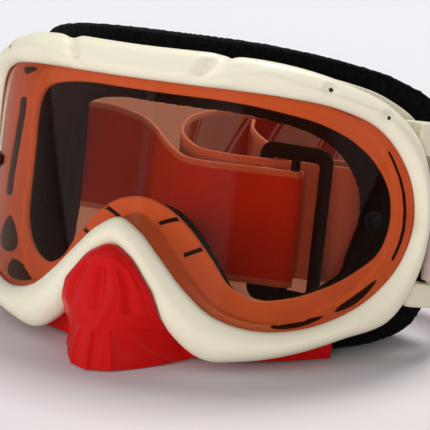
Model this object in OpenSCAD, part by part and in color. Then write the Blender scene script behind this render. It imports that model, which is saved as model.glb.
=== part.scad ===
// Off-road riding goggles: a soft moulded frame round a curved lens, three layers of face foam,
// a clip-on nose guard and an elastic strap with a slider, standing with the lens leaning back.
// Millimetres. The goggles are drawn upright, with the lens's axis along Z and its front at Y = 0,
// and the module stand() then leans them back and sets them on the ground.

/* [Lens] */
// Radius that the lens is curved to, seen from above
lens_r = 100; // [92:1:112]
// Width of the lens inside the rim, measured round its curve
lens_arc = 202; // [192:1:210]
// Height of the lens inside the rim
lens_h = 78; // [74:1:82]
// Thickness of the lens
lens_t = 0.9; // [0.6:0.1:1.2]
// How far the lens's edge reaches into the rim
lens_bite = 3; // [2:0.1:3.2]
// Clearance between the lens and its groove
lens_gap = 0.3; // [0.2:0.05:0.4]

/* [Rim] */
// How far the rim stands out in front of the lens
rim_rise = 4.8; // [3.5:0.1:6]
// Depth of the rim behind the lens's front
rim_back = 3.6; // [3:0.1:4.5]
// Thickness of the frame's wall and of its face flange
wall_t = 2; // [1.6:0.1:2.6]
// Depth from the lens to the face flange
frame_depth = 11.5; // [10:0.5:14]
// How much lower the middle of the brow lies than its two shoulders
brow_dip = 0.8; // [0:0.1:2]
// Place of the crease at each side of the brow's middle
crease_u = 29; // [27:0.5:31]
// How far the crease runs inwards from the rim's outer edge to the lens
crease_slant = 6; // [3:0.5:8]
// Depth of the crease
crease_depth = 2; // [0:0.1:2.6]
// Depth of the notch in the rim's outer edge at the crease
notch = 2.6; // [0:0.1:3]
// Diameter of the pin holes in the rim's brow
pin_d = 1.4; // [1:0.1:1.8]

/* [Vents] */
// Length of the upright vent slot at each side
side_slot_l = 38; // [30:1:40]
// Width of the upright vent slot
side_slot_w = 2.4; // [1.6:0.1:3]
// Width of the upper drop-shaped vent
drop_d = 5.2; // [4:0.1:6]
// Length of a drop-shaped vent
drop_l = 18; // [12:0.5:19]
// Width of a slit in the nose flange
slit_w = 0.9; // [0.6:0.1:1.4]
// Thickness of the vent foam
vent_foam_t = 2.2; // [1.5:0.1:3]

/* [Face foam] */
// Thickness of the firm foam that is glued to the flange
base_foam_t = 4.5; // [3:0.5:6]
// Thickness of the soft foam in the middle
core_foam_t = 7; // [5:0.5:9]
// Thickness of the fleece that touches the face
fleece_t = 3; // [2:0.5:4]
// Clearance between one layer and the next
layer_gap = 0.3; // [0.2:0.05:0.4]
// How far the foam closes in on the eyes from the flange to the face
foam_close = 4.5; // [2:0.5:6]

/* [Tear-off posts] */
// Place of each post from the middle of the lens, round the curve
post_arc = 86; // [80:1:90]
// Height of the posts
post_z = 48; // [40:1:54]
// Radius of the post that a tear-off film hangs on
post_r = 1.9; // [1.5:0.1:2.2]
// Length of the post in front of its washer
post_l = 2.6; // [2:0.1:3.5]
// Radius of the post's washer
washer_r = 3.1; // [2.6:0.1:3.6]
// Thickness of the post's washer
washer_t = 0.7; // [0.5:0.1:1]

/* [Nose guard] */
// Height of the guard's lower edge, below the lowest point of the lens
guard_drop = 19.5; // [18:0.5:21]
// Half width of the guard at its lower edge
guard_half_w = 31; // [29:0.5:33]
// How far the middle of the guard stands in front of the lens
guard_nose = 10.5; // [9.5:0.5:13]
// How much the guard's lower edge rises towards its corners
guard_lift = 5.5; // [4:0.5:7]
// How far the guard's edge laps over the front of the rim, at most
guard_lap = 4; // [2:0.2:4.4]
// How far the lower edge flares forward
guard_flare = 2.6; // [0:0.2:4]
// Thickness of the guard
guard_t = 1.8; // [1.4:0.1:2.4]
// Height of the ribs that fan out over the guard's lower half
rib_h = 1.1; // [0.4:0.1:1.6]
// Depth of the flutes in the guard's upper half
flute_depth = 0.9; // [0:0.1:1.2]
// Thickness of the wings behind the rim
wing_t = 2; // [1.5:0.1:2.4]

/* [Strap] */
// Width of the webbing
strap_w = 41; // [38:0.5:43]
// Thickness of the webbing
strap_t = 1.3; // [1:0.1:1.6]
// Clearance between the webbing and what it passes
strap_gap = 0.25; // [0.2:0.05:0.3]
// Radius of the bar that each strap end goes round
bar_r = 2.2; // [1.8:0.1:2.6]
// Place of the bar round the lens's curve
bar_arc = 113; // [111:0.5:115]
// How far the bar lies behind the lens's curve
bar_back = 1.6; // [1:0.1:3]
// Height of the middle of the bar
bar_z = 49; // [46:0.5:52]
// Height of the upper ear that carries the bar
ear_high_h = 11; // [8:0.5:12]
// Height of the lower ear that carries the bar
ear_low_h = 8; // [6:0.5:9]

/* [Slider] */
// Width of the slider
slider_w = 30.5; // [28:0.5:33]
// Height of the slider
slider_h = 56; // [54:0.5:60]
// Thickness of the slider
slider_t = 2.8; // [2.2:0.1:3.2]
// Width of the slider's side bars
side_bar = 4.6; // [3.5:0.1:5.5]
// Width of the slider's end bars
end_bar = 5.4; // [4:0.1:6]
// Radius of the middle bar
mid_bar_r = 1.6; // [1.3:0.1:2]
// Direction of the strap at the slider, seen from above
run_angle = 28; // [20:1:34]

/* [Stand] */
// How far the goggles lean back where they stand
lean = 12; // [8:0.5:15]

/* [Hidden] */

// Guide curves of the moulding, from the middle of the brow round the right side to the nose.
// Each point is [round the lens's curve, height], and the same row of each list is one section.
edge_pts = [[0, 86], [18, 86], [26, 86], [33, 86], [52, 85.5], [70, 83.5], [84, 78.5], [94, 69],
    [100, 57], [101, 45], [98, 35], [89, 23], [76, 14], [62, 9], [48, 8], [36, 11], [25, 19],
    [15.5, 28.5], [8, 35.5], [0, 39.3]];
rim_pts = [[0, 97], [18, 97.2], [26, 97.3], [33, 97.2], [53, 96], [73, 91.7], [88, 86],
    [100, 75.5], [106, 60], [107, 45], [105, 31], [96, 14.5], [80, 7.5], [65, 1.5], [47.5, -3],
    [34.5, -4], [22.5, 3], [13.5, 15.5], [6.5, 24.5], [0, 28.7]];
flange_pts = [[0, 98], [18.5, 98], [27, 98], [34, 98], [54, 97], [75, 93.3], [92, 88],
    [109, 78.5], [117, 62], [118.5, 45], [116, 29], [104, 14.5], [87, 8], [69, 3], [50, -0.5], [36, 1], [26, 10],
    [16, 22], [8.5, 31], [0, 35]];
port_pts = [[0, 81.5], [18, 81.5], [26, 81.5], [33, 81.3], [51, 79.8], [68, 77], [80.5, 72.5],
    [91.5, 65], [98.5, 55.5], [100, 46], [97, 36.5], [87, 28.5], [73, 21.5], [60, 17.5], [49, 16.5], [40, 19.5], [30.5, 29],
    [20, 38.5], [10, 44], [0, 45.8]];
foam_pts = [[0, 101.8], [18.5, 101.7], [27, 101.6], [34, 101.5], [56, 100.3], [78, 98],
    [99, 94], [119, 85.5], [127, 66], [128, 46], [127, 27], [117, 11], [103, 5.5], [84, 2], [60, 0], [40, 0.5], [27, 8],
    [16.5, 20], [8.5, 29], [0, 33]];
steps = 4;

// A mirrored closed curve through a half curve's points, with each span cut into equal steps.
function mirrored(half) = concat(half, [for (i = [len(half) - 2:-1:1]) [-half[i].x, half[i].y]]);
function tangent(p, i) = let (n = len(p), a = p[(i + n - 1) % n], b = p[i], c = p[(i + 1) % n],
    g = norm(b - a), h = norm(c - b)) ((c - b) * g / h + (b - a) * h / g) / (g + h);
function between(p, i, t) = let (n = len(p), k = (i + 1) % n, h = norm(p[k] - p[i]))
    (2 * t ^ 3 - 3 * t ^ 2 + 1) * p[i] + (t ^ 3 - 2 * t ^ 2 + t) * h * tangent(p, i)
    + (3 * t ^ 2 - 2 * t ^ 3) * p[k] + (t ^ 3 - t ^ 2) * h * tangent(p, k);
function closed(half) = let (p = mirrored(half))
    [for (i = [0:len(p) - 1], j = [0:steps - 1]) between(p, i, j / steps)];

// The lens's own size stretches all guide curves alike.
low_z = 8;
function sized(half) = [for (p = half)
    [p.x * lens_arc / 202, low_z + (p.y - low_z) * lens_h / 78]];
edge = closed(sized(edge_pts));
rim = closed(sized(rim_pts));
flange = closed(sized(flange_pts));
port = closed(sized(port_pts));
foam = closed(sized(foam_pts));
stations = len(edge);

function unit(v) = v / norm(v);
function mix(a, b, t) = a + (b - a) * t;
// From a place on the unrolled lens, d in front of it, to a point in space.
function wrap(p, d) = let (a = p.x / lens_r * 180 / PI)
    [(lens_r + d) * sin(a), lens_r - (lens_r + d) * cos(a), p.y];

// Triangles of a tube whose rings have m points; an open tube is capped at both ends.
function tube_faces(n, m, shut) = concat(
    [for (i = [0:n - (shut ? 1 : 2)], j = [0:m - 1], k = [0, 1])
        let (a = i * m + j, b = i * m + (j + 1) % m, c = ((i + 1) % n) * m + (j + 1) % m,
            d = ((i + 1) % n) * m + j) k == 0 ? [a, b, c] : [a, c, d]],
    shut ? [] : [for (j = [1:m - 2]) [0, j + 1, j]],
    shut ? [] : [for (j = [1:m - 2]) [(n - 1) * m, (n - 1) * m + j, (n - 1) * m + j + 1]]);
module tube(rings, shut = true) {
    polyhedron([for (r = rings, p = r) p], tube_faces(len(rings), len(rings[0]), shut));
}

// The brow: a ridge runs along the rim, breaks off at a crease at each side of the middle and
// starts again beyond it near the lens, and the rim's outer edge has a notch at the crease.
function bump(x, at, width) = exp(-((x - at) / width) ^ 2);
function is_brow(i) = edge[i].y > 60 * lens_h / 78 ? 1 : 0;
function crease(i, w) = is_brow(i) * bump(abs(edge[i].x), crease_u - crease_slant * (1 - w), 2.6);
function ridge(i) = let (u = abs(edge[i].x)) 0.45 + is_brow(i)
    * (-0.2 * bump(u, crease_u + 4, 5) + 0.18 * bump(u, crease_u + 17, 9));
function brow(i) = -is_brow(i) * brow_dip * bump(edge[i].x, 0, 20);
// Height of the rim's front over the lens, from its crest (t = 0) to its outer edge (t = 1).
lip = 0.6;
function rim_front(t, top) = lookup(t, [[0, top], [0.45, top * 0.88], [0.82, top * 0.45],
    [1, -lip]]);

groove = lens_bite + lens_gap;
// One section of the moulding, from the front lip over the rim and the flange to the groove.
function waist(i) = edge[i] + (wall_t + 0.5) * unit(rim[i] - edge[i]);
function frame_ring(i) = let (e = edge[i], o = unit(rim[i] - e), q = port[i], f = flange[i],
    r = rim[i] - notch * crease(i, 1) * o, c = ridge(i), top = rim_rise + brow(i),
    back = -frame_depth)
    [wrap(e, lens_gap), wrap(e + 0.3 * o, 1.7),
    wrap(mix(e, r, c * 0.45), top * 0.76 - crease_depth * 0.4 * crease(i, 0.2)),
    wrap(mix(e, r, c), top - crease_depth * crease(i, c)),
    wrap(mix(e, r, mix(c, 1, 0.45)), rim_front(0.45, top) - crease_depth * crease(i, 0.7)),
    wrap(mix(e, r, mix(c, 1, 0.82)),
        rim_front(0.82, top) - crease_depth * 0.5 * crease(i, 0.9)),
    wrap(r, -lip), wrap(mix(e, r, 0.96), -rim_back), wrap(mix(e, r, 0.62), -rim_back - 1),
    wrap(waist(i), -rim_back - 2), wrap(waist(i), back), wrap(f, back), wrap(f, back - wall_t),
    wrap(q, back - wall_t), wrap(q, back), wrap(mix(q, e, 0.85), back + 0.2),
    wrap(e, -lens_t - lens_gap), wrap(e + groove * o, -lens_t - lens_gap),
    wrap(e + groove * o, lens_gap)];

module frame() {
    color("ivory") stand() difference() {
        tube([for (i = [0:stations - 1]) frame_ring(i)]);
        for (s = [-1, 1]) scale_x(s) {
            for (k = [0:2]) side_slot(k);
            wall_vent(0.605, 0.56, 1) drop(drop_d, drop_l);
            wall_vent(0.7, 0.66, 1) drop(drop_d * 1.15, drop_l);
            wall_vent(0.3, 0.56, -1) drop(drop_d / 2, drop_l / 3);
            for (k = [0:2]) nose_slit(k);
            pin_hole(66, 89.7);
            pin_hole(85.7, 82.4);
        }
        for (s = [-1, 1]) scale_x(s) for (u = [22, 45, 64]) brow_vent(u);
    }
}
module scale_x(s) { if (s > 0) children(); else mirror([1, 0, 0]) children(); }
// Turns a piece drawn looking along -Y so that it lies at an arc place and height on the lens.
module on_lens(u, v, d = 0) {
    a = u / lens_r * 180 / PI;
    translate(wrap([u, v], d)) rotate([0, 0, a]) children();
}
// The station at a share of the way along the lens's edge, from the brow's middle to the nose.
edge_run = [for (a = 0, i = 0; i < stations; a = a + norm(edge[(i + 1) % stations] - edge[i]),
    i = i + 1) a];
function station_at(share) = let (r = share * edge_run[stations / 2])
    [for (i = [1:stations - 1]) if (edge_run[i - 1] < r && edge_run[i] >= r) i][0];
// Cuts a flat shape through the wall: its x runs along the edge, its y in depth.
module wall_vent(share, depth, way = 1) {
    i = station_at(share);
    o = unit(rim[i] - edge[i]);
    on_lens(edge[i].x, edge[i].y, -depth * frame_depth) rotate([0, atan2(o.x, o.y), 0])
        translate([0, 0, -wall_t / 2]) scale_x(way) linear_extrude(wall_t * 3) children();
}
// The upright slot follows the wall's curve in three cuts.
module side_slot(k) {
    wall_vent(0.41 + 0.048 * k, 0.63 - 0.08 * k) square([side_slot_l * 0.4, side_slot_w], true);
}
// A drop: a round middle that draws in to a small end on each side.
module drop(d, l) {
    hull() {
        circle(d = d, $fn = 20);
        translate([-l * 0.5, 0]) circle(d = d * 0.3, $fn = 12);
        translate([l * 0.36, 0]) circle(d = d * 0.6, $fn = 12);
    }
}
module pin_hole(u, v) {
    on_lens(u, low_z + (v - low_z) * lens_h / 78) rotate([90, 0, 0]) cylinder(d = pin_d, h = 9,
        $fn = 12);
}
module nose_slit(k) {
    i = stations / 2 - 3 - 5 * k;
    p = port[i];
    o = unit(edge[i] - p);
    on_lens(p.x, p.y, -frame_depth) rotate([0, atan2(o.x, o.y), 0])
        translate([-slit_w / 2, -4, -1]) cube([slit_w, 9, 7]);
}
module brow_vent(u) {
    on_lens(u, 91, -frame_depth * 0.55) translate([-7, -1.6, -8]) cube([14, 3.2, 16]);
}

// The lens: a slice of a cylinder cut to the rim's outline, with a hole for each post.
lens_outline = [for (i = [0:stations - 1]) let (o = unit(rim[i] - edge[i]),
    p = edge[i] + lens_bite * o) [(lens_r - lens_t) * sin(p.x / lens_r * 180 / PI), p.y]];
post_hole_r = post_r * 0.7;
module lens() {
    color("darkorange", 0.6) stand() difference() {
        intersection() {
            translate([0, lens_r, -20]) cylinder(r = lens_r, h = 140, $fn = 200);
            translate([0, lens_r * 0.6, 0]) rotate([90, 0, 0])
                linear_extrude(lens_r * 0.6 + 5) polygon(lens_outline);
        }
        translate([0, lens_r, -30]) cylinder(r = lens_r - lens_t, h = 160, $fn = 200);
        for (s = [-1, 1]) on_lens(s * post_arc, post_z) rotate([90, 0, 0])
            translate([0, 0, -5]) cylinder(r = post_hole_r + 0.05, h = 10, $fn = 40);
    }
}
seat = 0.06;
module tear_off_post(s) {
    on_lens(s * post_arc, post_z) rotate([90, 0, 0]) union() {
        translate([0, 0, -lens_t - seat]) cylinder(r = post_hole_r, h = lens_t + 1, $fn = 40);
        translate([0, 0, seat]) cylinder(r = washer_r, h = washer_t, $fn = 48);
        translate([0, 0, seat]) cylinder(r = post_r, h = washer_t + post_l, $fn = 40);
    }
}
module post_cap(s) {
    on_lens(s * post_arc, post_z) rotate([90, 0, 0])
        translate([0, 0, -lens_t - seat * 2 - washer_t]) cylinder(r = washer_r - 0.4,
            h = washer_t, $fn = 48);
}
module tear_off_post_left() { color("dimgray") stand() tear_off_post(-1); }
module tear_off_post_right() { color("dimgray") stand() tear_off_post(1); }
module post_cap_left() { color("dimgray") stand() post_cap(-1); }
module post_cap_right() { color("dimgray") stand() post_cap(1); }

// Face foam: rings between the foam's outline and the eye port, closing in towards the face.
foam_front = -frame_depth - wall_t - layer_gap;
core_front = foam_front - base_foam_t - layer_gap;
fleece_front = core_front - core_foam_t - layer_gap;
foam_back = fleece_front - fleece_t;
function foam_ring(i, front, thick, near, far, crown) = let (q = port[i], w = foam[i],
    o = unit(w - q), a = q - near * o, b = q - far * o, back = front - thick)
    [wrap(a, front), wrap(w - 0.8 * o, front), wrap(w, front - thick * 0.25),
    wrap(w, front - thick * 0.75), wrap(w - 1.2 * o, back), wrap(mix(b, w, 0.5), back - crown),
    wrap(b + 1.2 * o, back), wrap(b, front - thick * 0.75)];
module foam_layer(front, thick, near, far, crown) {
    tube([for (i = [0:stations - 1]) foam_ring(i, front, thick, near, far, crown)]);
}
close_1 = foam_close * 0.3;
close_2 = foam_close * 0.85;
module face_foam_base() {
    color([0.16, 0.15, 0.15]) stand() foam_layer(foam_front, base_foam_t, -0.4, close_1, 0);
}
module face_foam_core() {
    color([0.22, 0.21, 0.21]) stand() foam_layer(core_front, core_foam_t, close_1, close_2, 0);
}
module face_fleece() {
    color([0.1, 0.1, 0.1]) stand() foam_layer(fleece_front, fleece_t, close_2, foam_close, 0.8);
}

// Vent foam: strips on the flange, outside the frame's wall, that cover the vents.
vent_foam_w = 3;
function vent_ring(i) = let (o = unit(rim[i] - edge[i]), a = waist(i) + layer_gap * o,
    b = a + vent_foam_w * o, back = -frame_depth + layer_gap, front = back + vent_foam_t)
    [wrap(a, front), wrap(b, front), wrap(b, back), wrap(a, back)];
module vent_strip(from, to) {
    tube([for (i = [from:to]) vent_ring(i % stations)], false);
}
top_reach = 23;
// The side strips lie between the two arms that carry the strap's bar.
module side_strip() {
    beside = [for (i = [1:stations / 2]) if (edge[i].x > lens_arc / 4
        && abs(edge[i].y - bar_z) < strap_w / 2 - arm_gap) i];
    vent_strip(min(beside), max(beside));
}
module vent_foam_top() {
    color([0.3, 0.3, 0.3]) stand() vent_strip(stations - top_reach, stations + top_reach);
}
module vent_foam_bottom() {
    color([0.3, 0.3, 0.3]) stand() for (s = [-1, 1]) scale_x(s)
        vent_strip(station_at(0.72), station_at(0.82));
}
module vent_foam_left() { color([0.3, 0.3, 0.3]) stand() scale_x(-1) side_strip(); }
module vent_foam_right() { color([0.3, 0.3, 0.3]) stand() side_strip(); }

// Nose guard: a curved shield whose edge laps over the front of the rim's nose arch, then follows
// the rim's outer edge and ends in a skirt below it, and a wing behind the rim at each side.
nose = stations / 2;
guard_top = 1;
lap_rows = 11;
guard_rows = 15;
skirt_rows = 5;
guard_cols = 36;
guard_gap = 0.4;
guard_low = low_z - guard_drop;
edge_t = guard_t * 0.6;
function ease(t) = let (c = max(0, min(1, t))) c * c * (3 - 2 * c);
// How far the guard's edge lies inside the rim's outer edge at a row.
function lap(k) = lookup(k, [[0, guard_lap * 0.35], [4, guard_lap * 0.72], [9, guard_lap],
    [10, guard_lap * 0.6], [lap_rows, -0.25], [lap_rows + 1, -guard_gap]]);
// Height, half width and depth of the guard's edge at a row.
function guard_row(k) = let (i = nose - min(k, guard_rows), c = ridge(i),
    w = 1 - lap(k) / norm(rim[i] - edge[i]), p = mix(edge[i], rim[i], w),
    t = max(0, k - guard_rows) / skirt_rows, z = mix(p.y, guard_low, t))
    [z, mix(abs(p.x), guard_half_w, ease(t)), k > lap_rows ? mix(-2.4, -9.5, ease((-3 - z) / 5))
        : rim_front((w - c) / (1 - c), rim_rise) + guard_gap + edge_t];
guard_high = guard_row(guard_top)[0];
// Five ribs fan out over the lower half, and three flutes run down the upper half.
function ribs(s, down) = bump(s, 0, 0.06) + bump(s, 0.27 + 0.2 * (down - 0.67), 0.06)
    + bump(s, down - 0.17, 0.06);
function flutes(s) = bump(s, 0, 0.13) + bump(s, 0.6, 0.13);
function relief(s, down) = rib_h * ribs(s, down) * ease((down - 0.65) * 10)
    - flute_depth * flutes(s) * ease((down - 0.15) * 14) * ease((0.53 - down) * 14);
function guard_front(k, j) = let (s = j / guard_cols * 2 - 1, row = guard_row(k), z = row[0],
    down = (guard_high - z) / (guard_high - guard_low), side = wrap([row[1], z], row[2]),
    mid = -guard_nose * mix(0.5, 0.85, ease(down * 10)) - guard_flare * ease(down * 1.25 - 0.25),
    full = mix(3.4, 1.9, ease(down * 2 - 0.5)))
    [s * side.x, mix(mid, side.y, abs(s) ^ full) - relief(abs(s), down),
        z + guard_lift * s * s * max(0, (k - guard_rows) / skirt_rows)];
function guard_ring(k) = concat([for (j = [0:guard_cols]) guard_front(k, j)],
    [for (j = [guard_cols:-1:0]) let (s = j / guard_cols * 2 - 1, p = guard_front(k, j))
        [p.x * (1 - guard_t * 0.02), p.y + mix(guard_t, edge_t, abs(s) ^ 6), p.z]]);
// A sheet's outline is long and thin, so its ends are closed by strips between front and back.
module sheet(rings) {
    n = len(rings);
    m = len(rings[0]);
    w = m / 2;
    polyhedron([for (r = rings, p = r) p], concat(
        [for (i = [0:n - 2], j = [0:m - 1], k = [0, 1]) let (a = i * m + j, b = i * m + (j + 1) % m)
            k == 0 ? [a, b, b + m] : [a, b + m, a + m]],
        [for (j = [0:w - 2], k = [0, 1]) k == 0 ? [j, m - 1 - j, m - 2 - j] : [j, m - 2 - j, j + 1]],
        [for (j = [0:w - 2], k = [0, 1]) let (o = (n - 1) * m)
            k == 0 ? [o + j, o + m - 2 - j, o + m - 1 - j] : [o + j, o + j + 1, o + m - 2 - j]]));
}
// Lower edge of a wing by its place round the lens.
function wing_low(u) = low_z + (lookup(u, [[20, -6], [34, -5], [48, -4.5], [65, -2.5], [80, -0.5],
    [88, 3], [95, 11]]) - low_z) * lens_h / 78;
function wing_ring(i) = let (e = edge[i], r = rim[i], u = r.x, top = mix(e, r, 0.75),
    back = -frame_depth + layer_gap)
    [wrap(top, -rim_back - 1.5), wrap([u, wing_low(u)], back + wing_t),
    wrap([u, wing_low(u)], back), wrap(top + [0, 1], -rim_back - 1.5 - wing_t)];
wing_from = station_at(0.64);
wing_to = station_at(0.9);
module nose_guard() {
    color("red") stand() union() {
        sheet([for (k = [guard_top:guard_rows + skirt_rows]) guard_ring(k)]);
        for (s = [-1, 1]) scale_x(s) tube([for (i = [wing_from:wing_to]) wing_ring(i)], false);
    }
}

// Frame ends: two ears that stand in the channel behind the rim and carry the strap's bar.
arm_gap = 1;
bar_at = wrap([bar_arc, bar_z], -bar_back);
bar_x = bar_at.x;
bar_y = bar_at.y;
root_arc = 99.9;
root_r = 2.4;
shoulder_r = 1.8;
ear_margin = 5;
// An ear from a height upwards: a root in the channel behind the rim and a shoulder beside the
// rim, which both go round the bar.
module ear(low, h) {
    beside = layer_gap + max([for (p = rim) if (p.y > low - ear_margin
        && p.y < low + h + ear_margin) p.x]);
    root = wrap([root_arc, 0], -frame_depth * 0.73);
    shoulder = wrap([beside + shoulder_r, 0], -shoulder_r);
    translate([0, 0, low]) linear_extrude(h) for (p = [[root, root_r], [shoulder, shoulder_r]])
        hull() {
            translate([bar_x, bar_y]) circle(r = bar_r + 1.2, $fn = 32);
            translate([p[0].x, p[0].y]) circle(r = p[1], $fn = 32);
        }
}
module strap_anchor(s) {
    scale_x(s) union() {
        ear(bar_z + strap_w / 2 + arm_gap, ear_high_h);
        ear(bar_z - strap_w / 2 - arm_gap - ear_low_h, ear_low_h);
        translate([bar_x, bar_y, bar_z - strap_w / 2 - arm_gap - 1])
            cylinder(r = bar_r, h = strap_w + arm_gap * 2 + 2, $fn = 48);
    }
}
module strap_anchor_left() { color("ivory") stand() strap_anchor(-1); }
module strap_anchor_right() { color("ivory") stand() strap_anchor(1); }

// Strap: bands on edge, each swept along [x, y, height of its middle].
run_dir = [cos(run_angle), sin(run_angle)];
run_side = [sin(run_angle), -cos(run_angle)];
slider_at = [31.5, 60];
front_z = 37.5;
rear_z = 40.5;
// A place at the slider: l along the strap's run, n towards the lens, z for the height.
function at_run(l, n, z) = let (p = slider_at + l * run_dir + n * run_side) [p.x, p.y, z];
fold_r = mid_bar_r + strap_gap + strap_t / 2;
rear_n = -fold_r - strap_t - strap_gap;
bar_fold_r = bar_r + strap_gap + strap_t / 2;
function catmull(p, i, t) = let (n = len(p) - 1, a = p[max(0, i - 1)], b = p[i], c = p[i + 1],
    d = p[min(n, i + 2)], h = norm(c - b), g = max(0.01, norm(b - a)), k = max(0.01, norm(d - c)),
    m = i == 0 ? c - b : ((c - b) * g / h + (b - a) * h / g) / (g + h) * h,
    q = i == n - 1 ? c - b : ((d - c) * h / k + (c - b) * k / h) / (h + k) * h)
    (2 * t ^ 3 - 3 * t ^ 2 + 1) * b + (t ^ 3 - 2 * t ^ 2 + t) * m
    + (3 * t ^ 2 - 2 * t ^ 3) * c + (t ^ 3 - t ^ 2) * q;
function route(p, cuts) = concat([for (i = [0:len(p) - 2], j = [0:cuts - 1])
    catmull(p, i, j / cuts)], [p[len(p) - 1]]);
function band_ring(p, i) = let (n = len(p) - 1, t = p[min(n, i + 1)] - p[max(0, i - 1)],
    f = norm([t.x, t.y]), s = [-t.y, t.x, 0] / f * strap_t / 2, up = [0, 0, strap_w / 2])
    [p[i] + s - up, p[i] - s - up, p[i] - s + up, p[i] + s + up];
module band(p) { tube([for (i = [0:len(p) - 1]) band_ring(p, i)], false); }
// The loop round a frame end's bar: from the sewn end outside, round the front, to the inside.
function bar_loop(s) = [[s * (bar_x - bar_fold_r + strap_t + strap_gap), bar_y + 24, bar_z],
    [s * (bar_x - bar_fold_r + strap_t + strap_gap + 0.6), bar_y + 17, bar_z],
    for (a = [0:-22.5:-180]) [s * (bar_x + bar_fold_r * cos(a)), bar_y + bar_fold_r * sin(a),
        bar_z],
    [s * (bar_x - bar_fold_r), bar_y + 10, bar_z], [s * (bar_x - bar_fold_r), bar_y + 22, bar_z]];
front_route = concat(bar_loop(-1), [[7 - bar_x, bar_y + 34, 49], [17 - bar_x, bar_y + 41, 48.5],
    [-56, 97, 46], [-42, 86, 43], [-30, 73, 40.5], [-18, 61, 38.5], [-9, 52.5, 37.6], [-1, 47.8, 37.5]],
    [at_run(-29, -0.95, front_z), at_run(-22, -0.95, front_z), at_run(-14, -0.95, front_z)]);
rear_route = concat(bar_loop(1), [[bar_x - 7, bar_y + 35, 49.5], [bar_x - 19, bar_y + 43, 50],
    [50, 106, 51], [30, 116, 51], [10, 129, 51], [-10, 139, 51], [-29, 138, 50.5], [-40, 126, 50], [-40, 109, 48.5],
    [-34, 92, 46.5], [-25, 76, 44], [-14, 63.5, 42], [-6, 56.7, 41], [4.5, 53, 40.7]],
    [at_run(-17, rear_n, rear_z), at_run(-8, rear_n, rear_z), at_run(8, rear_n, rear_z),
    at_run(24, rear_n, rear_z), at_run(29, rear_n - 4.5, 41), at_run(24, rear_n - 9, 41.5),
    at_run(8, rear_n - 9.5, 42), at_run(-5, rear_n - 10.5, 43)],
    [[7, 79, 45.5], [-5, 92, 48], [-14, 108, 50]]);
loop_route = concat([at_run(-19, 0.65, front_z), at_run(-10, 0.65, front_z),
    at_run(-4, fold_r * 0.85, front_z)],
    [for (a = [90:-22.5:-90]) at_run(fold_r * cos(a), fold_r * sin(a), front_z)],
    [at_run(-6, -fold_r, front_z), at_run(-12, -fold_r, front_z)]);
module strap_front() { color("firebrick") stand() band(route(front_route, 3)); }
module strap_rear() { color("lavender") stand() band(rear_band); }
module strap_slider_loop() { color("firebrick") stand() band(loop_route); }

// Slider: a flat plate with one window and a round middle bar, turned so that the rear band runs
// straight in front of its left bar and behind the other two.
slider_z = (front_z + rear_z) / 2;
bar_span = slider_w / 2 - side_bar / 2;
need = mid_bar_r + 3 * strap_gap + 2 * strap_t;
arm_1 = bar_span - side_bar / 2;
arm_2 = slider_t / 2;
plate_turn = asin((need + 0.1) / norm([arm_1, arm_2])) + atan2(arm_2, arm_1);
function rounded(w, h, r) = [for (q = [0:3], a = [0:15:90]) let (sx = q == 0 || q == 3 ? 1 : -1,
    sy = q < 2 ? 1 : -1) [sx * (w / 2 - r) + r * cos(q * 90 + a),
    sy * (h / 2 - r) + r * sin(q * 90 + a)]];
module slider() {
    p = at_run(0, 0, slider_z);
    color([0.08, 0.07, 0.08]) stand() translate(p) rotate([0, 0, run_angle - plate_turn]) union() {
        rotate([90, 0, 0]) translate([0, 0, -slider_t / 2]) linear_extrude(slider_t)
            difference() {
                polygon(rounded(slider_w, slider_h, 5));
                polygon(rounded(slider_w - 2 * side_bar, slider_h - 2 * end_bar, 1.5));
            }
        translate([0, 0, -slider_h / 2 + end_bar - 1])
            cylinder(r = mid_bar_r, h = slider_h - 2 * end_bar + 2, $fn = 40);
    }
}

// The lowest points are the fleece's lower edge and the guard's; the ends are guard and strap.
function leaned(p) = [p.x, p.y * cos(lean) + p.z * sin(lean), p.z * cos(lean) - p.y * sin(lean)];
resting = concat([for (i = [0:stations - 1])
    for (p = foam_ring(i, fleece_front, fleece_t, close_2, foam_close, 0.8)) leaned(p)],
    [for (k = [guard_rows:guard_rows + skirt_rows]) for (p = guard_ring(k)) leaned(p)]);
ground = min([for (p = resting) p.z]);
front_end = min([for (p = resting) p.y]);
rear_band = route(rear_route, 3);
rear_end = max([for (i = [0:len(rear_band) - 1]) for (p = band_ring(rear_band, i)) leaned(p).y]);
module stand() {
    translate([0, -(front_end + rear_end) / 2, -ground]) rotate([-lean, 0, 0]) children();
}

frame();
lens();
tear_off_post_left();
tear_off_post_right();
post_cap_left();
post_cap_right();
face_foam_base();
face_foam_core();
face_fleece();
vent_foam_top();
vent_foam_bottom();
vent_foam_left();
vent_foam_right();
nose_guard();
strap_anchor_left();
strap_anchor_right();
strap_front();
strap_slider_loop();
strap_rear();
slider();
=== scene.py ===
"""Motocross goggles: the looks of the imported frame's pieces, as numpy surfaces with node
materials."""
import math
import bpy
import numpy as np
from bpy.props import FloatProperty, FloatVectorProperty, PointerProperty
from mathutils import Matrix, Vector


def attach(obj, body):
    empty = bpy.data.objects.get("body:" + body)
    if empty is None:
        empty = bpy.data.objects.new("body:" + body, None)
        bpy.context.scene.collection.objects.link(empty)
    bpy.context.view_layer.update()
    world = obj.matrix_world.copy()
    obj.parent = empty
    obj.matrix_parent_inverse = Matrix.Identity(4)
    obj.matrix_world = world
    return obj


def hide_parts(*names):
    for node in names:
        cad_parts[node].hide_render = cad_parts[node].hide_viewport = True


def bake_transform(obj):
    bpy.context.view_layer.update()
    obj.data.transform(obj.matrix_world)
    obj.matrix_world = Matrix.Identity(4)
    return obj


bl_info = {
    "name": "Motocross goggles",
    "version": (1, 0, 0),
    "blender": (4, 5, 0),
    "location": "3D View > Sidebar > Goggles",
    "description": "Dresses the packed goggles with moulded, foam and woven pieces",
    "category": "Object",
}

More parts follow.
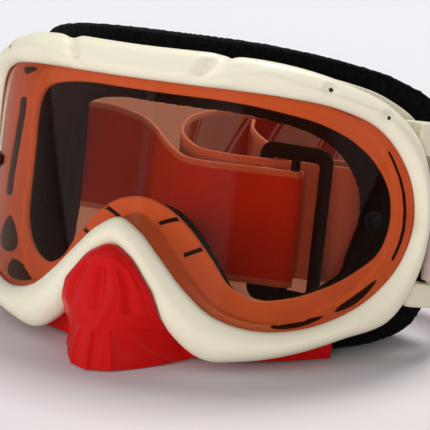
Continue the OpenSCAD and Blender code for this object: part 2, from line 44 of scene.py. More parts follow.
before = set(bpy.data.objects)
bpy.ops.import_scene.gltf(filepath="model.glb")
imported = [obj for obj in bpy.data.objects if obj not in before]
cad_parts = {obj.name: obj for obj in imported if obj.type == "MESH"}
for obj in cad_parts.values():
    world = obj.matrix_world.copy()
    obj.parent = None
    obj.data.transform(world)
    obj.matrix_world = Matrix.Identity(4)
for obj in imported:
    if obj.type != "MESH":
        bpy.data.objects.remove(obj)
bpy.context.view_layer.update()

# Sizes shared with the part's source, in millimetres. The goggles are worked out upright, with the
# lens's axis along Z and its front at Y = 0, and place() leans them back and sets them down.
LENS_R = 100.0
LENS_T = 0.9
LEAN = math.radians(12)
STAND = np.array([0.0, -68.7562, 9.29092])
DEPTH = 11.5
WALL = 2.0
RIM_RISE = 4.8
RIM_BACK = 3.6
GROOVE = 3.3
GAP = 0.3
CHANNEL = WALL + 0.5
LENS_LOW = 8
POST_ARC, POST_Z = 86.0, 48.0
CORNER_CUTS = 4

# Guides: half of each closed line round the lens, from the middle of the brow to the middle of the
# nose, as (round the lens, height). They are the lens's edge in the rim, the rim's outer edge, the
# face flange's outer edge, the eye port and the foam's outer edge.
EDGE = [[0, 86], [18, 86], [26, 86], [33, 86], [52, 85.5], [70, 83.5], [84, 78.5], [94, 69],
        [100, 57], [101, 45], [98, 35], [89, 23], [76, 14], [62, 9], [48, 8], [36, 11], [25, 19],
        [15.5, 28.5], [8, 35.5], [0, 39.3]]
RIM = [[0, 97], [18, 97.2], [26, 97.3], [33, 97.2], [53, 96], [73, 91.7], [88, 86], [100, 75.5],
       [106, 60], [107, 45], [105, 31], [96, 14.5], [80, 7.5], [65, 1.5], [47.5, -3], [34.5, -4],
       [22.5, 3], [13.5, 15.5], [6.5, 24.5], [0, 28.7]]
FLANGE = [[0, 94.5], [18.5, 94.5], [27, 94.5], [34, 94.5], [54, 94], [75, 92], [92, 88],
          [109, 78.5], [117, 62], [118.5, 45], [116, 29], [104, 14.5], [87, 8], [69, 3],
          [50, -0.5], [36, 1], [26, 10], [16, 22], [8.5, 31], [0, 35]]
PORT = [[0, 81.5], [18, 81.5], [26, 81.5], [33, 81.3], [51, 79.8], [68, 77], [80.5, 72.5],
        [91.5, 65], [98.5, 55.5], [100, 46], [97, 36.5], [87, 28.5], [73, 21.5], [60, 17.5],
        [49, 16.5], [40, 19.5], [30.5, 29], [20, 38.5], [10, 44], [0, 45.8]]
FOAM = [[0, 101.8], [18.5, 101.7], [27, 101.6], [34, 101.5], [56, 100.3], [78, 98], [99, 94],
        [119, 85.5], [127, 66], [128, 46], [127, 27], [117, 11], [103, 5.5], [84, 2], [60, 0],
        [40, 0.5], [27, 8], [16.5, 20], [8.5, 29], [0, 33]]


# Shapes

def place(p):
    """Upright millimetres to the row frame in metres: a turn about X by the lean, then the stand's
    offset."""
    c, s = math.cos(LEAN), math.sin(LEAN)
    x, y, z = p[..., 0], p[..., 1], p[..., 2]
    return (np.stack([x, y * c + z * s, z * c - y * s], -1) + STAND) * 0.001


def wrap(q):
    """(round the lens, height, in front of the lens) to a point: the radius is the lens's plus the
    distance in front, and the angle is the way round divided by the lens's radius."""
    a, r = q[..., 0] / LENS_R, LENS_R + q[..., 2]
    return np.stack([r * np.sin(a), LENS_R - r * np.cos(a), q[..., 1]], -1)


def hermite(p, t, closed=True):
    """A smooth curve through p at the parameters t: cubic spans whose tangents are the mean of the
    two chords' directions, the shorter chord weighing more. p may hold many curves: (..., n, k)."""
    n = p.shape[-2]
    if closed:
        before, after = np.roll(p, 1, -2), np.roll(p, -1, -2)
    else:
        before = np.concatenate([2 * p[..., :1, :] - p[..., 1:2, :], p[..., :-1, :]], -2)
        after = np.concatenate([p[..., 1:, :], 2 * p[..., -1:, :] - p[..., -2:-1, :]], -2)
    g = np.maximum(np.linalg.norm(p - before, axis=-1, keepdims=True), 1e-6)
    h = np.maximum(np.linalg.norm(after - p, axis=-1, keepdims=True), 1e-6)
    tangent = ((after - p) * g / h + (p - before) * h / g) / (g + h)
    i = np.floor(t).astype(int)
    if not closed:
        i = np.minimum(i, n - 2)
    f = (t - i)[:, None]
    i, k = i % n, (i + 1) % n
    a, b, ta, tb, span = (p[..., i, :], p[..., k, :], tangent[..., i, :], tangent[..., k, :],
                          h[..., i, :])
    return ((2 * f ** 3 - 3 * f ** 2 + 1) * a + (f ** 3 - 2 * f ** 2 + f) * span * ta
            + (3 * f ** 2 - 2 * f ** 3) * b + (f ** 3 - f ** 2) * span * tb)


def mirrored(half):
    """A closed guide's points: the half's points and their mirror images."""
    p = np.array(half, float)
    return np.concatenate([p, p[-2:0:-1] * [-1, 1]])


def rounded(section, corners):
    """Part of a closed section with straight sides: each corner (number, radius, cuts) becomes a
    parabola between two tangent points, and the side after it is cut evenly."""
    n, out = section.shape[1], []
    tangents = []
    for k, radius, _ in corners:
        before, corner, after = (section[:, (k + d) % n] for d in (-1, 0, 1))
        tangents.append([(corner + radius * unit(p - corner))[:, None] for p in (before, after)])
    for c, (k, radius, cuts) in enumerate(corners):
        start, end = tangents[c]
        f = np.linspace(0, 1, CORNER_CUTS)[None, :, None]
        corner = section[:, k, None]
        out.append((1 - f) ** 2 * start + 2 * f * (1 - f) * corner + f ** 2 * end)
        if cuts:
            f = np.arange(1, cuts + 1)[None, :, None] / (cuts + 1)
            out.append(end + f * (tangents[(c + 1) % len(corners)][0] - end))
    return np.concatenate(out, 1)


def stations(cuts):
    """Places round the closed guides, the same number in each of their spans."""
    return np.arange(2 * (len(EDGE) - 1) * cuts) / cuts


def guide(half, t):
    """A closed guide curve at the stations t."""
    return hermite(mirrored(half), t)


def deep(p, d):
    """Points (round the lens, height) with their distance in front of the lens."""
    return np.concatenate([p, np.broadcast_to(np.asarray(d, float), p.shape[:1])[:, None]], 1)


def rod(centre, radius, heights, cuts):
    """An upright rod's grid: circles of that radius round (x, y) at each of the heights."""
    a = np.arange(cuts) * math.tau / cuts
    ring = np.stack([np.cos(a), np.sin(a), 0 * a], -1) * radius
    return np.stack([ring + [*centre, z] for z in heights])


def unit(v):
    """Vectors divided by their length."""
    return v / np.maximum(np.linalg.norm(v, axis=-1, keepdims=True), 1e-9)


def way_along(p):
    """The way along a line of points: the sum of the chords before each of them."""
    return np.concatenate([[0], np.cumsum(np.linalg.norm(np.diff(p, axis=0), axis=1))])


def ease(t):
    """A smooth step from 0 to 1: 3 t squared minus 2 t cubed."""
    t = np.clip(t, 0, 1)
    return t * t * (3 - 2 * t)


def bump(x, at, width):
    """A smooth hill: e to minus the square of the distance from its top over its width."""
    return np.exp(-((x - at) / width) ** 2)


def noise(p, cell, seed=0):
    """Smooth value noise from -1 to 1: random numbers on a lattice of that cell, blended over each
    cell with an eased weight."""
    q = p / cell
    i = np.floor(q).astype(np.int64)
    f = ease(q - i)
    total = np.zeros(p.shape[:-1])
    for c in range(8):
        d = np.array([c & 1, c >> 1 & 1, c >> 2 & 1])
        k = i + d
        h = (k[..., 0] * 73856093 ^ k[..., 1] * 19349663 ^ k[..., 2] * 83492791
             ^ (seed + 7) * 2654435761) & 0xFFFFFFFF
        h = (h ^ h >> 13) * 1274126177 & 0xFFFFFFFF
        w = np.prod(np.where(d == 1, f, 1 - f), -1)
        total += w * ((h ^ h >> 16) & 0xFFFFFFFF)
    return total / 0xFFFFFFFF * 2 - 1


def normals(g):
    """Unit normals of a closed grid: the cross product of the central differences along its two
    parameters."""
    return unit(np.cross(*(np.roll(g, -1, axis) - np.roll(g, 1, axis) for axis in (0, 1))))


def surface(name, g, closed=(True, True), caps=False, uv=None, values=None):
    """A mesh from a grid of points in the row frame. Faces join neighbours, the last row to the
    first where closed. caps shuts an open tube's two ends with a face each. The faces are turned
    outwards: the volume inside, a sum of a . (b x c) over their triangles, is made more than 0."""
    n, m = g.shape[:2]
    a = np.arange(n if closed[0] else n - 1)
    b = np.arange(m if closed[1] else m - 1)
    i, j = (x.ravel() for x in np.meshgrid(a, b, indexing="ij"))
    i1, j1 = i + 1, j + 1
    faces = np.stack([i * m + j, i * m + j1 % m, i1 % n * m + j1 % m, i1 % n * m + j], -1)
    rows = np.stack([i, i, i1, i1], -1)
    cols = np.stack([j, j1, j1, j], -1)
    p = g.reshape(-1, 3) - g.reshape(-1, 3).mean(0)
    a, b, c, d = (p[faces[:, k]] for k in range(4))
    inside_out = np.sum(a * (np.cross(b, c) + np.cross(c, d))) <= 0
    if inside_out:
        faces, rows, cols = faces[:, ::-1], rows[:, ::-1], cols[:, ::-1]
    polys = faces.tolist()
    if caps:
        ends = [list(range(m))[::-1], list(range((n - 1) * m, n * m))]
        polys += [e[::-1] for e in ends] if inside_out else ends
    mesh = bpy.data.meshes.new(name)
    mesh.from_pydata(g.reshape(-1, 3).tolist(), [], polys)
    mesh.polygons.foreach_set("use_smooth", np.arange(len(polys)) < len(faces))
    if uv is not None:
        layer = mesh.uv_layers.new(name="surface")
        data = np.zeros((len(mesh.loops), 2))
        u, v = uv
        data[:rows.size] = np.stack([u[rows.ravel()], v[cols.ravel()]], -1)
        layer.data.foreach_set("uv", data.ravel().astype(np.float32))
    for key, value in (values or {}).items():
        attribute = mesh.attributes.new(key, "FLOAT", "POINT")
        attribute.data.foreach_set("value", value.ravel().astype(np.float32))
    mesh.update()
    obj = bpy.data.objects.new(name, mesh)
    bpy.context.scene.collection.objects.link(obj)
    return obj


def piece(name, g, body, slot, material, nodes=(), tube=False, **data):
    """A visible piece: a surface from a grid in upright millimetres, with its material, its body
    and the nodes that it stands for; its slot argument is not used. A tube is open along the grid's
    rows, with a face at each end."""
    obj = surface(name, place(g), (not tube, True), tube, **data)
    obj.data.materials.append(material)
    if body:
        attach(obj, body)
    if nodes:
        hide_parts(*nodes)
    return obj


# Materials

def group(name, inputs, outputs, build):
    """A node group, built once and then found by its name. An input with no value of its own is a
    vector, and every other socket is a number."""
    tree = bpy.data.node_groups.get(name)
    if tree:
        return tree
    tree = bpy.data.node_groups.new(name, "ShaderNodeTree")
    for key, value in inputs.items():
        kind = "NodeSocketVector" if value is None else "NodeSocketFloat"
        socket = tree.interface.new_socket(name=key, in_out="INPUT", socket_type=kind)
        if value is not None:
            socket.default_value = value
    for key in outputs:
        tree.interface.new_socket(name=key, in_out="OUTPUT", socket_type="NodeSocketFloat")
    given, end = (tree.nodes.new("NodeGroup" + way) for way in ("Input", "Output"))
    build(Nodes(tree), given.outputs, end)
    return tree


class Nodes:
    """Short ways to add nodes to a tree and to join them."""

    def __init__(self, tree):
        self.tree = tree

    def put(self, value, socket):
        """Joins another node's output to a socket, or sets the socket's own value."""
        if hasattr(value, "is_output"):
            self.tree.links.new(value, socket)
        elif socket.type == "RGBA":
            socket.default_value = (*value, 1)
        else:
            socket.default_value = value

    def fill(self, node, *values):
        for socket, value in zip(node.inputs, values):
            self.put(value, socket)
        return node

    def feed(self, node, **values):
        for key, value in values.items():
            self.put(value, node.inputs[key.replace("_", " ")])
        return node

    def add(self, kind, **settings):
        """A node with its settings, which are attributes of the node or else its sockets."""
        node = self.tree.nodes.new("ShaderNode" + kind)
        for key, value in settings.items():
            if hasattr(node, key):
                setattr(node, key, value)
            else:
                self.feed(node, **{key: value})
        return node

    def math(self, op, *values):
        return self.fill(self.add("Math", operation=op), *values).outputs[0]

    def mix(self, factor, a, b):
        node = self.add("Mix", data_type="RGBA")
        for k, value in ((0, factor), (6, a), (7, b)):
            self.put(value, node.inputs[k])
        return node.outputs[2]

    def span(self, value, low, high, to_low=0.0, to_high=1.0):
        node = self.add("MapRange", interpolation_type="SMOOTHSTEP")
        return self.fill(node, value, low, high, to_low, to_high).outputs[0]

    def split(self, vector):
        return self.add("SeparateXYZ", Vector=vector).outputs

    def noise(self, vector, scale, detail=3.0, rough=0.5):
        return self.add("TexNoise", Scale=scale, Detail=detail, Roughness=rough,
                        Vector=vector).outputs["Fac"]

    def bump(self, height, strength, distance, **under):
        return self.add("Bump", Strength=strength, Distance=distance, Height=height,
                        **under).outputs[0]

    def attribute(self, name):
        return self.add("Attribute", attribute_name=name).outputs["Fac"]

    def place(self):
        return self.add("TexCoord").outputs["Object"]

    def call(self, tree, **values):
        return self.feed(self.add("Group", node_tree=tree), **values).outputs


def new_material(name, **settings):
    """A material with one Principled shader, its constants set on the shader's own sockets."""
    material = bpy.data.materials.new(name)
    material.use_nodes = True
    material.node_tree.nodes.clear()
    n = Nodes(material.node_tree)
    shader = n.add("BsdfPrincipled", **settings)
    out = n.add("OutputMaterial", Surface=shader.outputs[0])
    return material, n, shader, out


def shaded(base, *shares):
    """A colour with each channel multiplied by its share."""
    return tuple(c * share for c, share in zip(base, shares))


def moulded_grain():
    """Moulded plastic: broad shade changes, fine pores and a little unevenness in the gloss."""
    def build(n, given, end):
        broad = n.noise(given["Vector"], 18.0, 2.0)
        fine = n.noise(given["Vector"], 900.0, 2.0)
        n.feed(end, Shade=n.span(broad, 0.3, 0.7), Pores=fine,
               Height=n.math("MULTIPLY_ADD", broad, 0.6, n.math("MULTIPLY", fine, 0.4)))
    return group("moulded grain", {"Vector": None}, ["Shade", "Height", "Pores"], build)


PIN_HOLES = [[66, 89.7, 4.2], [85.7, 82.4, 4.2]]


def pin_holes():
    """Two small holes at each side of the brow: the distance to the nearest of their centres gives
    the share of painted shade inside them and the height of the dimple round it."""
    def build(n, given, end):
        x, y, z = n.split(given["Vector"])
        half = n.add("CombineXYZ", X=n.math("ABSOLUTE", x), Y=y, Z=z).outputs[0]
        near = n.math("MINIMUM", *(
            n.fill(n.add("VectorMath", operation="DISTANCE"), half, spot).outputs["Value"]
            for spot in place(wrap(np.array(PIN_HOLES))).tolist()))
        n.feed(end, Mask=n.span(near, 0.0007, 0.001, 1.0, 0.0),
               Height=n.span(near, 0.0006, 0.0036))
    return group("pin holes", {"Vector": None}, ["Mask", "Height"], build)


def open_cells():
    """Foam: round cells under a soft nap of noise."""
    def build(n, given, end):
        cell = n.add("TexVoronoi", feature="F1", Vector=given["Vector"], Scale=given["Cells"])
        nap = n.noise(given["Vector"], 700.0, 4.0, 0.7)
        n.feed(end, Height=n.math("MULTIPLY_ADD", cell.outputs["Distance"], 1.2, nap),
               Nap=n.span(nap, 0.35, 0.7))
    return group("open cells", {"Vector": None, "Cells": 900.0}, ["Height", "Nap"], build)


RIB_PITCH, WARP_PITCH = 0.9, 0.75


def webbing_weave():
    """Elastic webbing: fine ribs across the band, a sine of the way along it, crossed by the warp
    threads, a sine of the way across it, both in millimetres of the band's own surface."""
    def build(n, given, end):
        u, v, _ = n.split(given["Vector"])
        rib = n.math("SINE", n.math("MULTIPLY", u, math.tau / RIB_PITCH))
        warp = n.math("SINE", n.math("MULTIPLY", v, math.tau / WARP_PITCH))
        n.feed(end, Along=u, Across=v, Rib=n.math("MULTIPLY_ADD", rib, 0.5, 0.5),
               Height=n.math("MULTIPLY_ADD", n.math("MULTIPLY", rib, warp), 0.5,
                             n.math("MULTIPLY", warp, 0.35)))
    return group("webbing weave", {"Vector": None}, ["Height", "Along", "Across", "Rib"], build)


# Painted shade: the near-black colour of the vents, slits and pin holes, which stands for the dark
# inside of an opening.
OPENING_SHADE = (0.012, 0.011, 0.012)


def shell_material(look):
    """Soft ivory moulding with a silky gloss, and painted shade, near black, in the vents, slits
    and pin holes.
    """
    rough = 0.42
    material, n, shader, _ = new_material("ivory shell", Roughness=rough, Coat_Weight=0.12,
                                          Coat_Roughness=0.25, Subsurface_Weight=0.08,
                                          Subsurface_Scale=0.002)
    grain = n.call(moulded_grain(), Vector=n.place())
    pins = n.call(pin_holes(), Vector=n.place())
    tone = n.mix(grain["Shade"], look.shell, shaded(look.shell, 0.97, 0.965, 0.93))
    # Painted shade: where the vents, slits and pin holes lie, the colour turns near black and the
    # surface rougher.
    shade_in_openings = n.math("MAXIMUM", n.span(n.attribute("vent"), -0.05, 0.2), pins["Mask"])
    dimple = n.bump(pins["Height"], 0.6, 0.001)
    n.feed(shader, Base_Color=n.mix(shade_in_openings, tone, OPENING_SHADE),
           Roughness=n.math("MULTIPLY_ADD", shade_in_openings, 0.5, rough),
           Normal=n.bump(grain["Height"], 0.12, 0.0004, Normal=dimple))
    return material


def guard_material(look):
    """Gloss red injection moulding, a little darker where the grain's broad noise is high."""
    material, n, shader, _ = new_material("red guard", Roughness=0.32, Coat_Weight=0.15,
                                          Coat_Roughness=0.12, Specular_IOR_Level=0.1)
    grain = n.call(moulded_grain(), Vector=n.place())
    n.feed(shader, Base_Color=n.mix(grain["Shade"], look.guard, shaded(look.guard, 0.9, 1, 1)),
           Normal=n.bump(grain["Height"], 0.1, 0.0004))
    return material


def black_material(name, rough):
    """Black moulded plastic, with its pores showing in the gloss."""
    material, n, shader, _ = new_material(name, Specular_IOR_Level=0.12)
    grain = n.call(moulded_grain(), Vector=n.place())
    n.feed(shader, Base_Color=n.mix(grain["Shade"], (0.003, 0.0025, 0.003),
                                    (0.006, 0.005, 0.006)),
           Roughness=n.math("MULTIPLY_ADD", grain["Pores"], 0.15, rough - 0.07),
           Normal=n.bump(grain["Height"], 0.15, 0.0004))
    return material


def foam_material(name, dark, light, cells, strength):
    """Matt black foam or fleece: cells and nap raise it and lighten the tips."""
    material, n, shader, _ = new_material(name, Roughness=1.0, Sheen_Weight=0.03,
                                          Sheen_Roughness=0.5, Specular_IOR_Level=0.05)
    foam = n.call(open_cells(), Vector=n.place(), Cells=cells)
    n.feed(shader, Base_Color=n.mix(foam["Nap"], dark, light),
           Normal=n.bump(foam["Height"], strength, 0.0006))
    return material


def webbing_material(look):
    """Woven elastic, printed on one side with slanted bars and thin stripes, which are a ping-pong
    of the way along the band plus a share of the way across it; with paler selvedges."""
    material, n, shader, _ = new_material("webbing", Roughness=0.85, Sheen_Weight=0.2,
                                          Sheen_Roughness=0.4)
    weave = n.call(webbing_weave(), Vector=n.add("UVMap", uv_map="surface").outputs[0])
    bar = n.math("PINGPONG", n.math("MULTIPLY_ADD", weave["Across"], 0.55, weave["Along"]), 20.0)
    thin = n.math("ABSOLUTE", n.math("ADD", bar, -6.4))
    pale = n.math("MAXIMUM", n.span(bar, 8.3, 8.8), n.span(thin, 0.5, 0.9, 1.0, 0.0))
    plain = n.mix(n.attribute("red"), look.webbing, look.strap_red)
    face = n.mix(n.attribute("printed"), plain, n.mix(pale, look.print_red, look.webbing))
    face = n.mix(n.span(n.math("ABSOLUTE", weave["Across"]), 17.8, 18.6), face, look.selvedge)
    wear = n.math("MULTIPLY_ADD", n.noise(n.place(), 60.0, 3.0), 0.2, 0.78)
    # Painted shade: the colour is darker between the ribs across the band; the wear noise scaled in
    # with it is random tone.
    shade = n.add("VectorMath", operation="SCALE",
                  Scale=n.math("MULTIPLY_ADD", weave["Rib"], 0.12, wear))
    n.put(face, shade.inputs[0])
    n.feed(shader, Base_Color=shade.outputs[0], Normal=n.bump(weave["Height"], 0.5, 0.0003))
    return material


def lens_material(look):
    """Tinted lens: clear Principled glass for the camera, and for shadow and diffuse rays a
    transparent shader of the same tint, so that the inside is lit through it."""
    both_ways = shaded(look.tint, *look.tint)
    material, n, shader, out = new_material("tinted lens", Base_Color=both_ways, Roughness=0.0,
                                            IOR=1.2, Transmission_Weight=1.0)
    clear = n.add("BsdfTransparent", Color=look.tint)
    path = n.add("LightPath").outputs
    soft = n.math("MAXIMUM", path["Is Shadow Ray"], path["Is Diffuse Ray"])
    both = n.fill(n.add("MixShader"), soft, shader.outputs[0], clear.outputs[0])
    n.feed(out, Surface=both.outputs[0])
    return material


# Painted reflection: the floor's colour as glossy surfaces see it, darker than its own, standing
# for shade on the table round the goggles.
FLOOR_REFLECTION_SHADE = (0.3, 0.28, 0.28)
VIEW_WAY = (-0.516, 0.857, 0)


def floor_material(look):
    """A plain floor that pales with the distance from the camera; seen in a glossy surface it has a
    painted reflection colour, darker than its own, as if the table round the goggles lay in shade."""
    material, n, shader, _ = new_material("floor", Roughness=0.7)
    away = n.fill(n.add("VectorMath", operation="DOT_PRODUCT"), n.place(), VIEW_WAY)
    paper = n.mix(n.noise(n.place(), 3.0), look.floor, shaded(look.floor, *[0.985] * 3))
    far = n.mix(n.span(away.outputs["Value"], -0.14, 0.45), paper, look.backdrop)
    n.feed(shader, Base_Color=n.mix(n.add("LightPath").outputs["Is Glossy Ray"], far,
                                    FLOOR_REFLECTION_SHADE))
    return material


# What shiny surfaces mirror of the studio: (direction round the goggles in degrees, brightness)
STUDIO = [(-180, 0.3), (-100, 0.3), (-70, 0.6), (-60, 0.9), (-27, 0.7), (-25.5, 1.4), (-23.5, 1.4),
          (-22, 0.1), (-12, 0.3), (0, 0.7), (13, 1.2), (16, 0.06), (49, 0.1), (56, 0.8),
          (180, 0.5)]
STUDIO_SEEN = (0.855, 0.863, 0.913)
STUDIO_LIGHT = (0.31, 0.31, 0.325)


def studio_world():
    """A pale studio: what the camera sees and what passes through the lens is the backdrop's own
    colour, what lights the goggles is even, and what shiny surfaces mirror are its panels and its
    dark openings, by their direction round the goggles: the arc tangent of x over minus y."""
    world = bpy.data.worlds.new("studio")
    world.use_nodes = True
    world.node_tree.nodes.clear()
    n = Nodes(world.node_tree)
    x, y, _ = n.split(n.add("TexCoord").outputs["Generated"])
    turn = n.math("ARCTAN2", x, n.math("MULTIPLY", y, -1.0))
    ramp = n.add("ValToRGB", Fac=n.math("MULTIPLY_ADD", turn, 1 / math.tau, 0.5))
    stops = ramp.color_ramp.elements
    while len(stops) < len(STUDIO):
        stops.new(0.5)
    for stop, (angle, level) in zip(stops, STUDIO):
        stop.position = (angle + 180) / 360
        stop.color = (level, level, level, 1)
    path = n.add("LightPath").outputs
    clear = n.math("MAXIMUM", path["Is Camera Ray"], path["Is Transmission Ray"])
    lit = n.mix(path["Is Glossy Ray"], STUDIO_LIGHT, ramp.outputs[0])
    background = n.add("Background", Color=n.mix(clear, lit, STUDIO_SEEN))
    n.add("OutputWorld", Surface=background.outputs[0])
    return world


# The user's values

def colour(name, text, default):
    return FloatVectorProperty(name=name, description=text, subtype="COLOR", size=3,
                               default=default, min=0.0, max=1.0)


def metres(name, text, default):
    return FloatProperty(name=name, description=text, default=default, min=0.0, max=0.002,
                         unit="LENGTH")


class GogglesLook(bpy.types.PropertyGroup):
    """Colours of the goggles."""
    shell: colour("Shell", "Moulded frame", (0.83, 0.79, 0.62))
    guard: colour("Guard", "Nose guard", (0.56, 0.003, 0.003))
    tint: colour("Tint", "Tint of one surface of the lens", (0.883, 0.557, 0.424))
    webbing: colour("Webbing", "Pale yarn of the strap", (0.62, 0.50, 0.50))
    print_red: colour("Print", "Red print of the strap", (0.45, 0.03, 0.02))
    strap_red: colour("Red band", "Red face of the front band", (0.62, 0.10, 0.045))
    selvedge: colour("Selvedge", "Edge of the webbing", (0.70, 0.52, 0.46))
    floor: colour("Floor", "Floor near the camera", (0.69, 0.64, 0.65))
    backdrop: colour("Backdrop", "Floor far away", (0.745, 0.755, 0.80))


class GogglesSizes(bpy.types.PropertyGroup):
    """Sizes of the finish, in metres."""
    foam_nap: metres("Foam nap", "Height of the foam's tufts", 0.00025)
    strap_curl: metres("Strap curl", "Crown across the webbing", 0.0004)
    vent_depth: metres("Vent depth", "Depth of the vents in the wall", 0.0012)


def look():
    return bpy.context.scene.goggles_look


def sizes():
    return bpy.context.scene.goggles_sizes


# Moulding

def drop(x, y, width, length):
    """About the signed distance, more than 0 inside, to an egg: an ellipse whose width falls
    towards its near end."""
    wide = width / 2 * (1 + 0.35 * np.clip(2 * x / length, -1, 1))
    return (1 - np.hypot(2 * x / length, y / wide)) * wide


# Vents at each side, in millimetres: drops as (way round the lens's edge, depth, width, length,
# direction), and the upright slot's ends, half width and depths by the way round
DROPS = [(153.5, 6.4, 6, 19, 1), (177, 7.3, 8, 20, 1), (76.1, 6.4, 4.2, 12, -1)]
SLOT_ENDS = (97.6, 134.8)
SLOT_HALF = 1.2
SLOT_DEPTHS = ([104, 116, 128.4], [7.2, 6.3, 5.4])


def vents(run, depth):
    """Vents in the wall by the way round the lens's edge and the depth behind it, as a signed
    distance, more than 0 inside: the most of the drops and of a round-ended slot."""
    slot = SLOT_HALF - np.hypot(run - np.clip(run, *SLOT_ENDS),
                                depth - np.interp(run, *SLOT_DEPTHS))
    return np.max([slot] + [drop((run - at) * way, depth - deep_at, width, length)
                            for at, deep_at, width, length, way in DROPS], axis=0)


# Slits: where each starts and ends round the lens's edge, and its length away from the port
SLITS = [(237.5, 245.5, 7.5), (224.5, 229.5, 7.5)]
SLIT_HALF = 0.7


def slits(run, away):
    """Slits in the flange round the nose, by the way round the lens's edge and the distance from
    the port in millimetres: the signed distance, more than 0 inside, to slanted round-ended
    strokes from (first, 0) to (last, length)."""
    strokes = []
    for first, last, length in SLITS:
        t = np.clip(((run - first) * (last - first) + away * length)
                    / ((last - first) ** 2 + length ** 2), 0, 1)
        strokes.append(SLIT_HALF - np.hypot(run - first - t * (last - first), away - t * length))
    return np.maximum(*strokes)


BROW_Z = 60
# The rim's ridge: its share of the way from the lens's edge to the rim's outer edge, the hills
# that move it in the brow as (place round the lens, width, share), and the share that it gives up
# over the middle of the brow, as (place, width, share)
RIDGE = 0.45
RIDGE_HILLS = [(46, 9, 0.18), (33, 5, -0.2)]
RIDGE_MIDDLE = (18, 10, 0.13)
MIDDLE_Z, MIDDLE_BLEND = 76, 7
DIP, DIP_W = 0.8, 20
CREASE_AT, CREASE_STEP = 23, 2
CREASE_W = 3
NOTCH = 1.8
FLAT_CUTS = 20
RIM_CUTS = [2, 4, 5, 5, 5, 5, 4, 3, 2]


def moulding():
    """The frame: a closed profile (lip, sculpted rim, channel, flange, inner wall, lens groove)
    carried round the guide curves. The rim is a smooth curve through its points; the flange and
    the groove are straight, with each corner rounded by a parabola between two tangent points.
    In the brow a slanted crease, a hill in the way round whose place moves outwards from row to
    row, cuts the rim's ridge and notches its edge."""
    t = np.concatenate([np.arange(0, 15, 1 / 14), np.arange(15, 23, 1 / 36),
                        np.arange(23, 38, 1 / 14)])
    e, r, f, q = (guide(g, t) for g in (EDGE, RIM, FLANGE, PORT))
    o = unit(r - e)
    u, brow = np.abs(e[:, 0]), e[:, 1] > BROW_Z

    def crease(row):
        return brow * bump(u, CREASE_AT + CREASE_STEP * row, CREASE_W)

    def notched(row):
        return r - NOTCH * crease(row)[:, None] * o

    def mix(a, b, t):
        return a + (b - a) * (t[:, None] if np.ndim(t) else t)
    waist = e + CHANNEL * o
    middle = ease((e[:, 1] - MIDDLE_Z) / MIDDLE_BLEND)
    at, width, share = RIDGE_MIDDLE
    c = (RIDGE + brow * sum(part * bump(u, spot, wide) for spot, wide, part in RIDGE_HILLS)
         - share * middle * (1 - ease((u - at) / width)))
    top = RIM_RISE - DIP * brow * bump(u, 0, DIP_W)
    back, groove = -DEPTH, -LENS_T - GAP
    rows = [(e, GAP), (e + 0.3 * o, 1.7),
            (mix(e, r, c * (0.45 + 0.27 * middle)),
             top * (0.76 + 0.17 * middle) - 0.8 * crease(0)),
            (mix(e, r, c), top - 2.2 * crease(1)),
            (mix(e, notched(2), c + (1 - c) * 0.45),
             top * (0.88 - 0.1 * middle) - 2 * crease(2)),
            (mix(e, notched(3), c + (1 - c) * 0.82), top * 0.45 - crease(3)),
            (notched(4), -0.6), (mix(e, notched(6), 0.96), -RIM_BACK),
            (mix(e, notched(7), 0.62), -RIM_BACK - 1), (waist, -RIM_BACK - 2),
            (waist, back), (f, back), (f, back - WALL), (q, back - WALL), (q, back),
            (mix(q, e, 0.85), back + 0.2), (e, groove), (e + GROOVE * o, groove),
            (e + GROOVE * o, GAP)]
    section = np.stack([deep(*row) for row in rows], 1)
    t = np.concatenate([k + np.arange(cuts) / cuts for k, cuts in enumerate(RIM_CUTS)])
    flats = [(9, 0.5, 0), (10, 0.5, 0), (11, 0.8, 0), (12, 0.8, 0), (13, 0.8, 0),
             (14, 0.7, FLAT_CUTS), (15, 0.8, FLAT_CUTS), (16, 0.4, 0), (17, 0.3, 0), (18, 0.3, 0)]
    g = np.concatenate([hermite(section, t), rounded(section, flats)], 1)
    face = len(t) + 6 * CORNER_CUTS
    wall = face + FLAT_CUTS + CORNER_CUTS
    points = wrap(g)
    run = way_along(e)
    run = np.minimum(run, 2 * run[-1] - run[-2] - run)
    vent = np.full(g.shape[:2], -1.0)
    inner, flange = slice(wall, wall + FLAT_CUTS), slice(face - 3, face + FLAT_CUTS)
    vent[:, inner] = vents(run[:, None], -g[:, inner, 2])
    away = np.linalg.norm(g[:, flange, :2] - q[:, None], axis=-1)
    vent[:, flange] = slits(run[:, None], away)
    sink = ease(vent / 0.8 + 0.2) * sizes().vent_depth * 1000
    return points - normals(points) * sink[..., None], vent


class GOGGLES_OT_frame(bpy.types.Operator):
    """Make the moulded frame"""
    bl_idname = "goggles.frame"
    bl_label = "Moulded frame"

    def execute(self, context):
        g, vent = moulding()
        piece("frame_moulding", g, "goggles", "frame_shell", shell_material(look()), ["frame"],
              values={"vent": vent})
        return {"FINISHED"}


LENS_BITE = 2.9
LENS_END = 0.05


